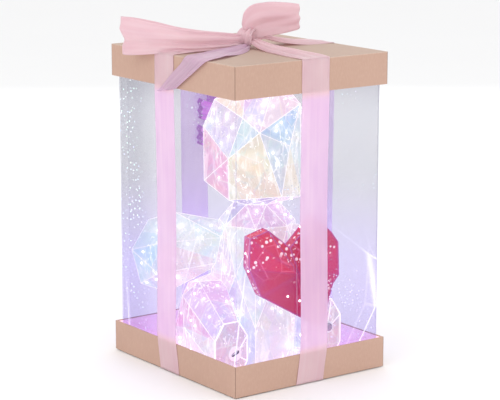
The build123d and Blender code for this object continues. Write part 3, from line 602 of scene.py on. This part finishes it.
# ---------------------------------------------------------------- geometry trees for what repeats
def geometry_tree(name, sizes, build):
    """A Geometry Nodes tree with named number inputs; build adds its nodes."""
    tree = bpy.data.node_groups.new(name, "GeometryNodeTree")
    tree.interface.new_socket("Geometry", in_out="INPUT", socket_type="NodeSocketGeometry")
    for size, value in sizes.items():
        kind = "NodeSocketInt" if isinstance(value, int) else "NodeSocketFloat"
        tree.interface.new_socket(size, in_out="INPUT", socket_type=kind).default_value = value
    tree.interface.new_socket("Finish", in_out="INPUT", socket_type="NodeSocketMaterial")
    tree.interface.new_socket("Geometry", in_out="OUTPUT", socket_type="NodeSocketGeometry")
    given = tree.nodes.new("NodeGroupInput").outputs
    result = tree.nodes.new("NodeGroupOutput")

    def add(kind, sockets, settings=None, out=0):
        node = tree.nodes.new(kind)
        for key, value in (settings or {}).items():
            setattr(node, key, value)
        for key, value in sockets.items():
            if isinstance(value, bpy.types.NodeSocket):
                tree.links.new(value, node.inputs[key])
            else:
                node.inputs[key].default_value = value
        return node.outputs[out]

    shape = build(given, add)
    realized = add("GeometryNodeRealizeInstances", {"Geometry": shape})
    painted = add("GeometryNodeSetMaterial", {"Geometry": realized, "Material": given["Finish"]})
    tree.links.new(painted, result.inputs[0])
    return tree


def grow_with(made, tree, finish, **sizes):
    """Runs a tree on an object and keeps the result as its mesh."""
    modifier = made.modifiers.new(tree.name, "NODES")
    modifier.node_group = tree
    for item in tree.interface.items_tree:
        if item.in_out == "INPUT" and item.name in sizes:
            modifier[item.identifier] = sizes[item.name]
        if item.in_out == "INPUT" and item.name == "Finish":
            modifier[item.identifier] = finish
    settle(made)
    if not made.data.materials:
        made.data.materials.append(finish)
    return made


def build_seams(given, add):
    curve = add("GeometryNodeMeshToCurve", {"Mesh": given["Geometry"]})
    round_section = add("GeometryNodeCurvePrimitiveCircle", {"Resolution": 6, "Radius": given["Radius"]})
    sockets = {"Curve": curve, "Profile Curve": round_section, "Fill Caps": True}
    return add("GeometryNodeCurveToMesh", sockets)


def build_beads(given, add):
    bead = add("GeometryNodeMeshUVSphere", {"Segments": 8, "Rings": 5, "Radius": given["Radius"]})
    sockets = {"Points": given["Geometry"], "Instance": bead}
    return add("GeometryNodeInstanceOnPoints", sockets)


seam_tree = geometry_tree("folded_seams", {"Radius": 0.5 * MM}, build_seams)
bead_tree = geometry_tree("bead_glow", {"Radius": 1.1 * MM}, build_beads)

# ---------------------------------------------------------------- the case's ribbon
LEFT_X = left_strap_low.x / MM + 0.2
RIGHT_X = right_strap_high.x / MM - 0.2
FRONT_Y = front_strap_low.y / MM + 0.2
REAR_Y = rear_strap_high.y / MM - 0.2
HALF = RIBBON_WIDTH / MM / 2
LEFT_Y = (left_strap_low.y + left_strap_high.y) / 2 / MM
RIGHT_Y = (right_strap_low.y + right_strap_high.y) / 2 / MM
FRONT_X = (front_strap_low.x + front_strap_high.x) / 2 / MM
REAR_X = (rear_strap_low.x + rear_strap_high.x) / 2 / MM
TOP = LID_TOP / MM
TRAY = tray_high.z / MM
LID_FOOT = lid_low.z / MM


def strap(name, node, at, middle, foot_shift, along_y, outward, finish):
    """One upright run: straight up the wall, drawn askew over the tray."""
    levels = [(0.0, foot_shift), (TRAY - 0.5, foot_shift * 0.15), (TRAY + 14, 0.0), (90, 0.6),
              (170, -0.5), (LID_FOOT - 12, 0.0), (LID_FOOT + 4, 0.0), (TOP + 0.1, 0.0)]
    edges = []
    for side in (-HALF, HALF):
        edge = []
        for z, shift in levels:
            sag = -1.2 * outward if TRAY + 20 < z < LID_FOOT - 20 else 0.0
            across = middle + shift + side
            edge.append((at + sag, across, z) if along_y else (across, at + sag, z))
        edges.append(edge)
    if (outward > 0) == along_y:
        edges.reverse()
    made, length = lay_ribbon(name, edges[1], edges[0], finish, None, ripple=0.35)
    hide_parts(node)
    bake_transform(made)
    return made


strap("satin_run_left", "ribbon_strap_left", LEFT_X, LEFT_Y, -5.5, True, -1, pink_satin)
strap("satin_run_right", "ribbon_strap_right", RIGHT_X, RIGHT_Y, 3.0, True, 1, painted_glow_satin)
strap("satin_run_front", "ribbon_strap_front", FRONT_Y, FRONT_X, -5.0, False, -1, pink_satin)
strap("satin_run_rear", "ribbon_strap_rear", REAR_Y, REAR_X, 2.0, False, 1, painted_glow_satin)


def satin(name, near_edge, far_edge, held, rests_on, replaced=(), finish=None, length=None, **more):
    """A ribbon piece that rides with the lid."""
    made, run = lay_ribbon(name, near_edge, far_edge, finish or pink_satin, "lid", **more)
    if replaced:
        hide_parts(*replaced)
    return made


flat_on_lid = TOP + 0.7
satin(
    "satin_top_left",
    [(LEFT_X, LEFT_Y - HALF, TOP), (LEFT_X + 3, LEFT_Y - HALF, flat_on_lid), (-52, -4, flat_on_lid + 0.4),
     (-28, -4, 303), (-6, -3.5, 306)],
    [(LEFT_X, LEFT_Y + HALF, TOP), (LEFT_X + 3, LEFT_Y + HALF, flat_on_lid), (-52, 18, flat_on_lid + 0.6),
     (-28, 10, 304), (-6, 4.5, 307)],
    "stretched", ["lid"], ["ribbon_top_cross"],
    folds=[(0.5, 0.35, 1.0, 0.08), (0.5, 0.7, -0.8, 0.1)],
)
satin(
    "satin_top_right",
    [(RIGHT_X, RIGHT_Y + HALF, TOP), (RIGHT_X - 3, RIGHT_Y + HALF, flat_on_lid), (56, 7, flat_on_lid + 1.5),
     (34, 7, 305.5), (18, 6, 309.5), (5, 4, 309)],
    [(RIGHT_X, RIGHT_Y - HALF, TOP), (RIGHT_X - 3, RIGHT_Y - HALF, flat_on_lid), (56, -17, flat_on_lid + 1),
     (34, -11, 305), (18, -6, 309), (5, -4, 308)],
    "stretched", ["lid"], folds=[(0.5, 0.4, 1.4, 0.1), (0.5, 0.68, -1.0, 0.08)],
)
satin(
    "satin_top_front",
    [(FRONT_X - HALF, FRONT_Y, TOP), (FRONT_X - HALF, FRONT_Y + 3, flat_on_lid),
     (-10, -60, flat_on_lid + 0.4), (-6.5, -30, 302.5), (-4, -7, 307)],
    [(FRONT_X + HALF, FRONT_Y, TOP), (FRONT_X + HALF, FRONT_Y + 3, flat_on_lid),
     (15, -60, flat_on_lid + 0.6), (9, -30, 303.5), (4, -7, 308)],
    "stretched", ["lid"], folds=[(0.5, 0.32, 1.1, 0.09), (0.5, 0.66, -0.9, 0.08)],
)
satin(
    "satin_top_rear",
    [(REAR_X + HALF, REAR_Y, TOP), (REAR_X + HALF, REAR_Y - 3, flat_on_lid), (19, 60, flat_on_lid + 0.4),
     (12, 30, 303), (4.5, 7, 307)],
    [(REAR_X - HALF, REAR_Y, TOP), (REAR_X - HALF, REAR_Y - 3, flat_on_lid), (-6, 60, flat_on_lid + 0.6),
     (-5, 30, 304), (-4.5, 7, 308)],
    "stretched", ["lid"], folds=[(0.5, 0.35, 1.1, 0.09), (0.5, 0.7, -0.9, 0.08)],
)

# The side loop leaves the knot on edge, widens over the lid, folds back past the lid's edge and returns.
satin(
    "satin_loop_side",
    [(-4, -3, 303), (-22, -6, 302), (-45, -7, 301.6), (-65, -4, 301.4), (-80, 7, 301.2), (-92, 25, 298),
     (-101, 44, 296), (-104, 52, 296), (-100, 57, 296.5), (-92, 50, 298), (-82, 34, 301.3), (-66, 17, 301.4),
     (-44, 8, 301.8), (-22, 5, 302.5), (-4, 3, 303.5)],
    [(-4, -3, 312), (-22, -4, 315), (-45, -5, 318), (-65, -2, 320.5), (-80, 9, 324), (-93, 27, 328),
     (-102, 45, 330.5), (-105, 53, 331), (-101, 58, 330.5), (-92, 51, 329.5), (-82, 36, 327), (-66, 18, 322),
     (-44, 9, 318), (-22, 6, 315), (-4, 3, 312.5)],
    "folded", ["lid"], ["bow_loop_side"],
    folds=[(0.25, 0.55, 1.6, 0.10), (0.75, 0.62, -1.3, 0.09), (0.5, 0.2, 0.9, 0.07)], ripple=1.1,
    gather=0.55,
)

# The upright loop stands behind the knot and faces the case's front left corner.
satin(
    "satin_loop_upright",
    [(0, 0, 306), (6, -4, 308), (16, -11, 310.5), (28, -20, 313.5), (37, -27, 316.5), (40, -28, 318),
     (40, -23, 318.5), (33, -14, 316), (20, -3, 313), (8, 5, 310), (1, 3, 308)],
    [(-4, 3.5, 322), (-3, 1, 333), (4, -4, 340.5), (16, -13, 342.2), (33, -26, 341.4), (39, -29, 340.6),
     (41, -24, 340.4), (34, -13, 341.2), (20, -2, 341.4), (8, 6, 337), (-1, 7, 325)],
    "folded", ["lid"], ["bow_loop_upright"],
    folds=[(0.62, 0.35, 1.8, 0.12), (0.3, 0.75, -1.4, 0.10)], ripple=1.2, gather=0.35,
)

# The knot: one turn of ribbon, gathered into folds, round everything that meets at the lid's middle.
knot_turn = [
    (-8, -5, 304), (-9, -6, 309), (-7, -5, 314.5), (0, 0, 317), (6, 5, 314), (8, 6.5, 308.5), (6, 5, 303),
]
satin(
    "satin_knot",
    [(x + 4.6, y - 6.2, z - 0.4) for x, y, z in knot_turn],
    [(x - 4.6, y + 6.2, z + 0.6) for x, y, z in knot_turn],
    "gathered", ["lid"], ["bow_knot"], length=0.024, step=1.2, across=20,
    folds=[(0.2, 0.28, 1.1, 0.06), (0.42, 0.45, -1.0, 0.05), (0.6, 0.55, 1.2, 0.06),
           (0.82, 0.78, -0.9, 0.05)],
)

# The front tail crosses the lid's left edge and turns down over the lid's side.
satin(
    "satin_tail_front",
    [(-5, -5, 304), (-24, -10, 302.4), (-50, -16, 302), (-78, -23, 302), (LEFT_X - 0.6, -26, 300.8),
     (LEFT_X - 1.6, -17, 292), (LEFT_X - 2.0, 1, 278), (LEFT_X - 1.8, 19, 264.6)],
    [(-2, -8, 303), (-20, -27, 302), (-44, -43, 301.8), (-72, -56, 301.8), (LEFT_X - 0.6, -60, 300.6),
     (LEFT_X - 1.6, -51, 295), (LEFT_X - 2.2, -32, 283), (LEFT_X - 2.0, -11, 270)],
    "draped", ["lid"], ["bow_tail_front"], finish=lilac_satin,
    folds=[(0.5, 0.45, 1.3, 0.12), (0.8, 0.75, -0.7, 0.08)], ripple=0.7,
)

# The rear tail curls down the rear wall.
curl_radius = (curl_high.x - curl_low.x) / 2 / MM
curl_x = (curl_high.x + curl_low.x) / 2 / MM + 8.0
curl_y = curl_high.y / MM - curl_radius
CURL_TURNS = 4.4
CURL_PITCH = 25.5
curl_near, curl_far = [], []
for i in range(int(CURL_TURNS * 12) + 1):
    turn = 2 * pi * i / 12
    radius = (curl_radius - 0.4) * (0.92 + 0.08 * sin(1.7 * turn))
    x, y = curl_x + radius * cos(turn - 2.0), curl_y + radius * sin(turn - 2.0)
    z = 301.0 - CURL_PITCH * i / 12 - 1.2 * sin(0.9 * turn)
    curl_near.append((x, y, max(z - 9.5, curl_low.z / MM)))
    curl_far.append((x, y, min(z + 9.5, 302.0)))
satin(
    "satin_tail_rear", curl_near, curl_far, "hung", ["lid"], ["bow_tail_rear"], finish=orchid_satin,
    across=18, step=2.0, ripple=0.5, gather=0.75,
)
satin(
    "satin_tail_rear_top",
    [(5, 5, 304), (15, 30, 302.4), (26, 62, 302), (34, 92, 301.8), (35, 101, 301.2)],
    [(-1, 8, 304), (-2, 34, 302.4), (1, 64, 302), (5, 92, 301.8), (6, 101, 301.2)],
    "draped", ["lid"], finish=lilac_satin, folds=[(0.5, 0.5, 1.2, 0.14)],
)

# ---------------------------------------------------------------- the bear's folded film
ROSE, ORCHID, VIOLET = (1.0, 0.24, 0.62), (0.88, 0.46, 0.90), (0.50, 0.42, 0.90)
LAVENDER, AZURE, SKY = (0.68, 0.64, 0.98), (0.20, 0.52, 0.86), (0.55, 0.82, 1.0)
ICE, MINT, CREAM = (0.78, 0.94, 1.0), (0.70, 1.0, 0.90), (1.0, 0.96, 0.74)
BUTTER, APRICOT, BLUSH = (1.0, 0.90, 0.56), (1.0, 0.66, 0.50), (1.0, 0.76, 0.88)
STEEL, PEARL = (0.60, 0.76, 0.90), (0.96, 0.93, 1.0)
tint_places = [
    ((-33, -7, 190), ROSE), ((-33, 10, 178), ROSE), ((-31, -6, 224), LAVENDER), ((-28, -36, 222), SKY),
    ((-26, -4, 247), CREAM), ((-19, -34, 246), LAVENDER), ((0, -45, 246), BLUSH), ((6, -48, 232), AZURE),
    ((-6, -53, 204), STEEL), ((-22, -36, 184), BUTTER), ((-14, -44, 170), CREAM), ((28, -50, 222), ICE),
    ((28, -48, 196), BLUSH), ((20, -52, 178), CREAM), ((44, -20, 225), SKY), ((44, -15, 190), LAVENDER),
    ((10, -8, 266), PEARL), ((-16, -28, 156), VIOLET), ((12, -46, 156), ORCHID), ((10, 40, 230), LAVENDER),
    ((-20, 35, 200), MINT), ((30, 38, 190), ROSE), ((45, 10, 235), BLUSH), ((5, 42, 180), SKY),
    ((-22, 6, 276), BLUSH), ((36, -10, 276), LAVENDER), ((-18, 12, 262), ROSE),
    ((-60, 62, 112), ICE), ((-48, 33, 134), APRICOT), ((-40, 14, 120), ICE), ((-66, 50, 92), SKY),
    ((-60, 84, 95), MINT), ((-72, 66, 115), ICE), ((-40, 70, 90), LAVENDER), ((-45, 30, 90), BLUSH),
    ((-72, -10, 62), ROSE), ((-78, -20, 36), BLUSH), ((-60, -26, 72), ORCHID), ((-46, -48, 66), AZURE),
    ((-60, 18, 60), ROSE), ((-36, -46, 40), LAVENDER), ((-70, -45, 20), PEARL), ((-55, -30, 55), BLUSH),
    ((0, -50, 60), PEARL), ((-18, -44, 110), BLUSH), ((-25, -38, 80), ICE), ((20, -45, 45), LAVENDER),
    ((-28, -10, 130), PEARL), ((-36, 5, 90), BLUSH), ((30, -30, 100), ICE), ((0, 30, 80), LAVENDER),
    ((38, 10, 70), SKY), ((14, 28, 120), ROSE), ((-10, -30, 146), ORCHID), ((35, 10, 130), CREAM),
    ((66, -40, 45), LAVENDER), ((50, -45, 66), BLUSH), ((70, -15, 60), SKY), ((50, 15, 60), MINT),
    ((30, -45, 50), PEARL), ((48, -60, 30), ORCHID), ((-60, -58, 30), ORCHID), ((30, -50, 130), BLUSH),
    ((40, -60, 110), ICE), ((20, -70, 105), ORCHID),
]
heart_tints = [
    ((-51, -68, 118), (0.66, 0.08, 0.22)), ((-30, -80, 130), (0.60, 0.004, 0.05)),
    ((-10, -80, 125), (0.52, 0.002, 0.04)), ((-38, -80, 90), (0.48, 0.002, 0.045)),
    ((0, -86, 80), (0.50, 0.002, 0.055)), ((18, -84, 70), (0.46, 0.002, 0.05)),
    ((26, -86, 95), (0.53, 0.008, 0.08)), ((30, -84, 120), (0.50, 0.008, 0.07)),
    ((12, -84, 138), (0.56, 0.01, 0.07)), ((-10, -84, 60), (0.50, 0.004, 0.07)),
]


def nearest_tint(spot, choices):
    return min(choices, key=lambda choice: (Vector(choice[0]) * MM - spot).length)[1]


def facets_of(node):
    """The flat outer facets of a shell, with outward normals."""
    shape = bmesh.new()
    for vertex in nodes[node].data.vertices:
        shape.verts.new(vertex.co)
    bmesh.ops.remove_doubles(shape, verts=shape.verts, dist=0.01 * MM)
    made = bmesh.ops.convex_hull(shape, input=shape.verts)
    spare = {g for g in made["geom_interior"] + made["geom_unused"] if isinstance(g, bmesh.types.BMVert)}
    bmesh.ops.delete(shape, geom=list(spare), context="VERTS")
    bmesh.ops.recalc_face_normals(shape, faces=shape.faces)
    bmesh.ops.dissolve_limit(shape, angle_limit=radians(1.5), verts=shape.verts, edges=shape.edges)
    shape.normal_update()
    shape.verts.index_update()
    return shape


def divide(corners, parts):
    """A triangle cut into a grid: its points, their depth from the nearest edge, and the small faces."""
    a, b, c = corners
    spots, depths, index = [], [], {}
    for i in range(parts + 1):
        for j in range(parts + 1 - i):
            u, v = i / parts, j / parts
            index[i, j] = len(spots)
            spots.append(a + (b - a) * u + (c - a) * v)
            depths.append(3 * min(u, v, max(1 - u - v, 0)))
    faces = []
    for i in range(parts):
        for j in range(parts - i):
            faces.append((index[i, j], index[i + 1, j], index[i, j + 1]))
            if i + j < parts - 1:
                faces.append((index[i + 1, j], index[i + 1, j + 1], index[i, j + 1]))
    return spots, depths, faces


HALO_NEAR = 2.6 * MM        # the bright spot round each light
HALO_FAR = 8 * MM           # the fainter glow about it


def film_skin(name, node, choices, finish, seam, parts=12, lights=14, crumple=0.55,
              seam_radius=0.24, facets=None):
    """A crumpled skin over a shell's facets, with its lit seams and light beads."""
    shape = facets or facets_of(node)
    chance = random.Random(name)
    triangles = []
    for face in shape.faces:
        tint = nearest_tint(face.calc_center_median(), choices)
        ring = [v.co.copy() for v in face.verts]
        centre = face.calc_center_median()
        shade = 0.88 + 0.12 * chance.random()
        if len(ring) == 3:
            triangles.append((ring, tint, face.normal.copy(), shade, True))
        else:
            for p, q in zip(ring, ring[1:] + ring[:1]):
                triangles.append(([centre, p, q], tint, face.normal.copy(), shade, False))
    big = [t for t in triangles if (t[0][1] - t[0][0]).cross(t[0][2] - t[0][0]).length > 2 * (9 * MM) ** 2]
    beads = []
    for _ in range(lights):
        (a, b, c), _, normal, _, _ = chance.choice(big or triangles)
        u, v = 0.15 + 0.6 * chance.random(), 0.15 + 0.6 * chance.random()
        if u + v > 0.85:
            u, v = 0.85 - u, 0.85 - v
        beads.append((a + (b - a) * abs(u) + (c - a) * abs(v), normal))
    spots, faces, tints, glows, depths = [], [], [], [], []
    for ring, tint, normal, shade, closed in triangles:
        points, inner, small = divide(ring, parts)
        first = len(spots)
        for spot, depth in zip(points, inner):
            if not closed:
                depth = min(1.0, 3 * (1 - (spot - ring[0]).length / max((ring[1] - ring[0]).length, 1e-6)))
                depth = max(depth, 0.0)
            push = noise.noise(spot * 70) * 0.6 + noise.noise(spot * 190) * 0.4
            keep = min(1.0, depth * 4)
            spots.append(spot + normal * (push * crumple * keep * MM))
            near = sum(exp(-((spot - bead).length / HALO_NEAR) ** 2) for bead, _ in beads)
            far = sum(exp(-((spot - bead).length / HALO_FAR) ** 2) for bead, _ in beads)
            glows.append(min(1.0, 0.45 * near + 0.10 * far))
            depths.append(max(0.0, 1.0 - depth * 9))
        for a, b, c in small:
            faces.append((first + a, first + b, first + c))
            tints.append([shade * channel for channel in tint])
    made = piece(name, spots, faces, finish, "root", smooth=False)
    mesh = made.data
    colour = mesh.color_attributes.new("tint", "FLOAT_COLOR", "CORNER")
    for polygon in mesh.polygons:
        for loop in polygon.loop_indices:
            colour.data[loop].color = (*tints[polygon.index], 1.0)
    mesh.attributes.new("glow", "FLOAT", "POINT").data.foreach_set("value", glows)
    mesh.attributes.new("edge", "FLOAT", "POINT").data.foreach_set("value", depths)
    sewn = bmesh.new()
    sewn.from_mesh(mesh)
    bmesh.ops.remove_doubles(sewn, verts=sewn.verts, dist=0.002 * MM)
    sewn.to_mesh(mesh)
    sewn.free()
    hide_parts(node)

    corners = [v.co.copy() for v in shape.verts]
    edges = [tuple(v.index for v in e.verts) for e in shape.edges if e.calc_length() > 2 * MM
             and e.calc_face_angle(1.0) > radians(9)]
    lines = piece(name + "_seams", corners, [], seam, None)
    lines.data.clear_geometry()
    lines.data.from_pydata([tuple(p) for p in corners], edges, [])
    grow_with(lines, seam_tree, seam, Radius=seam_radius * MM)
    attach(lines, "root")
    if beads:
        grains = piece(name + "_lights", [spot + normal * 0.2 * MM for spot, normal in beads], [],
                       bead_finish, None)
        grow_with(grains, bead_tree, bead_finish)
        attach(grains, "root")
    shape.free()
    return made


film_skin("head_film", "head_shell", tint_places, bear_film, seam_finish, parts=16, lights=70)
film_skin("torso_film", "torso_shell", tint_places, bear_film, seam_finish, parts=14, lights=95)
film_skin("ear_left_film", "ear_left_shell", tint_places, bear_film, seam_finish, parts=7, lights=2)
film_skin("ear_right_film", "ear_right_shell", tint_places, bear_film, seam_finish, parts=7, lights=2)
film_skin("spread_arm_film", "spread_arm_shell", tint_places, bear_film, seam_finish, lights=40)
film_skin("heart_arm_film", "heart_arm_shell", tint_places, bear_film, seam_finish, parts=8, lights=6)
film_skin("socket_leg_film", "socket_leg_shell", tint_places, bear_film, seam_finish, parts=10, lights=38)
film_skin("button_leg_film", "button_leg_shell", tint_places, bear_film, seam_finish, parts=10, lights=32)


# ---------------------------------------------------------------- the heart
HEART_OUTLINE = [
    (-4, 27), (-26, 45), (-44, 39), (-45, 11), (-33, -16), (28, -52),
    (40, -11), (46, -3), (45, 28), (38, 38), (21, 54),
]
HEART_TURN = radians(-12)
HEART_RIM = 6.0
HEART_PEAKS = (((4, 2), 9.0), ((-6, -2), 9.0))


def heart_spot(u, v, out):
    """A point from its place across and up the heart's face and its height over it."""
    centre = Vector((-6.5, -77.0, 98.0))
    across = Vector((cos(HEART_TURN), sin(HEART_TURN), 0))
    ahead = Vector((sin(HEART_TURN), -cos(HEART_TURN), 0))
    return (centre + across * u + Vector((0, 0, v)) + ahead * out) * MM


def heart_shape():
    """The heart's facets: a rim all round, and folds that meet at a peak on each side."""
    shape = bmesh.new()
    rings = []
    for out in (HEART_RIM, -HEART_RIM):
        rings.append([shape.verts.new(heart_spot(u, v, out)) for u, v in HEART_OUTLINE])
    (front_at, front_out), (back_at, back_out) = HEART_PEAKS
    front_peak = shape.verts.new(heart_spot(*front_at, front_out))
    back_peak = shape.verts.new(heart_spot(*back_at, -back_out))
    for k in range(len(HEART_OUTLINE)):
        after = (k + 1) % len(HEART_OUTLINE)
        shape.faces.new((rings[0][k], rings[0][after], front_peak))
        shape.faces.new((rings[1][after], rings[1][k], back_peak))
        shape.faces.new((rings[0][after], rings[0][k], rings[1][k], rings[1][after]))
    bmesh.ops.recalc_face_normals(shape, faces=shape.faces)
    shape.normal_update()
    shape.verts.index_update()
    return shape


heart = film_skin("heart_film", "heart_front_shell", heart_tints, red_film, heart_seam_finish, parts=14,
                  lights=16, crumple=0.7, seam_radius=0.5, facets=heart_shape())
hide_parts("heart_back_shell")

# Each sole is a flat panel with a lit seam round it.
for side in ("socket", "button"):
    nodes[side + "_sole_panel"].data.materials[0] = sole_film
    shape = bmesh.new()
    shape.from_mesh(nodes[side + "_sole_panel"].data)
    bmesh.ops.remove_doubles(shape, verts=shape.verts, dist=0.01 * MM)
    bmesh.ops.dissolve_limit(shape, angle_limit=radians(1.5), verts=shape.verts, edges=shape.edges)
    face_y = min(v.co.y for v in shape.verts)
    kept = [e for e in shape.edges if e.calc_length() > 6 * MM
            and all(v.co.y < face_y + 0.1 * MM for v in e.verts)]
    corners = [v.co.copy() for e in kept for v in e.verts]
    rim = piece(side + "_sole_seam", corners, [], seam_finish, None)
    rim.data.clear_geometry()
    rim.data.from_pydata([tuple(p) for p in corners], [(2 * k, 2 * k + 1) for k in range(len(kept))], [])
    grow_with(rim, seam_tree, seam_finish, Radius=0.7 * MM)
    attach(rim, "root")
    shape.free()


# ---------------------------------------------------------------- stage, light and camera
def flat_finish(name, colour, rough):
    f = Finish(name)
    cloud = f.grain(3, 2)
    shade = f.blend(cloud, rgba([0.985 * c for c in colour]), rgba(colour))
    return f.done(f.principled({"Base Color": shade, "Roughness": rough}))


floor_finish = flat_finish("pale_floor", (0.93, 0.93, 0.935), 0.75)
corners = [(-9, -9, FLOOR_Z), (9, -9, FLOOR_Z), (9, 9, FLOOR_Z), (-9, 9, FLOOR_Z)]
floor = piece("floor", corners, [(0, 1, 2, 3)], floor_finish, None)

world = bpy.data.worlds.new("studio")
world.use_nodes = True
bpy.context.scene.world = world
world.node_tree.nodes["Background"].inputs["Color"].default_value = (1, 1, 1, 1)
world.node_tree.nodes["Background"].inputs["Strength"].default_value = 1.0
bpy.context.scene.view_settings.view_transform = "Standard"


def softbox(name, place, aim, size, power, colour=(1, 1, 1)):
    light = bpy.data.lights.new(name, "AREA")
    light.shape = "RECTANGLE"
    light.size, light.size_y = size
    light.energy = power
    light.color = colour
    holder = bpy.data.objects.new(name, light)
    holder.location = place
    holder.rotation_euler = (Vector(aim) - Vector(place)).to_track_quat("-Z", "Y").to_euler()
    bpy.context.scene.collection.objects.link(holder)


middle = (0, 0, 0.15)
softbox("key", (-1.6, -0.5, 1.1), middle, (1.2, 1.2), 5)
softbox("fill", (0.7, -1.7, 0.8), middle, (1.2, 1.2), 4)
softbox("top", (0, 0.1, 1.7), middle, (1.2, 1.2), 3)
softbox("behind", (0.9, 1.3, 0.7), middle, (1.4, 1.0), 3)

lens = bpy.data.cameras.new("view")
lens.lens = 137.03
lens.sensor_width = 36.0
camera = bpy.data.objects.new("view", lens)
camera.location = (-1.0433, -1.4271, 0.5230)
aim = Vector((0.00196, -0.00144, 0.15462))
camera.rotation_euler = (aim - camera.location).to_track_quat("-Z", "Y").to_euler()
bpy.context.scene.collection.objects.link(camera)
bpy.context.scene.camera = camera
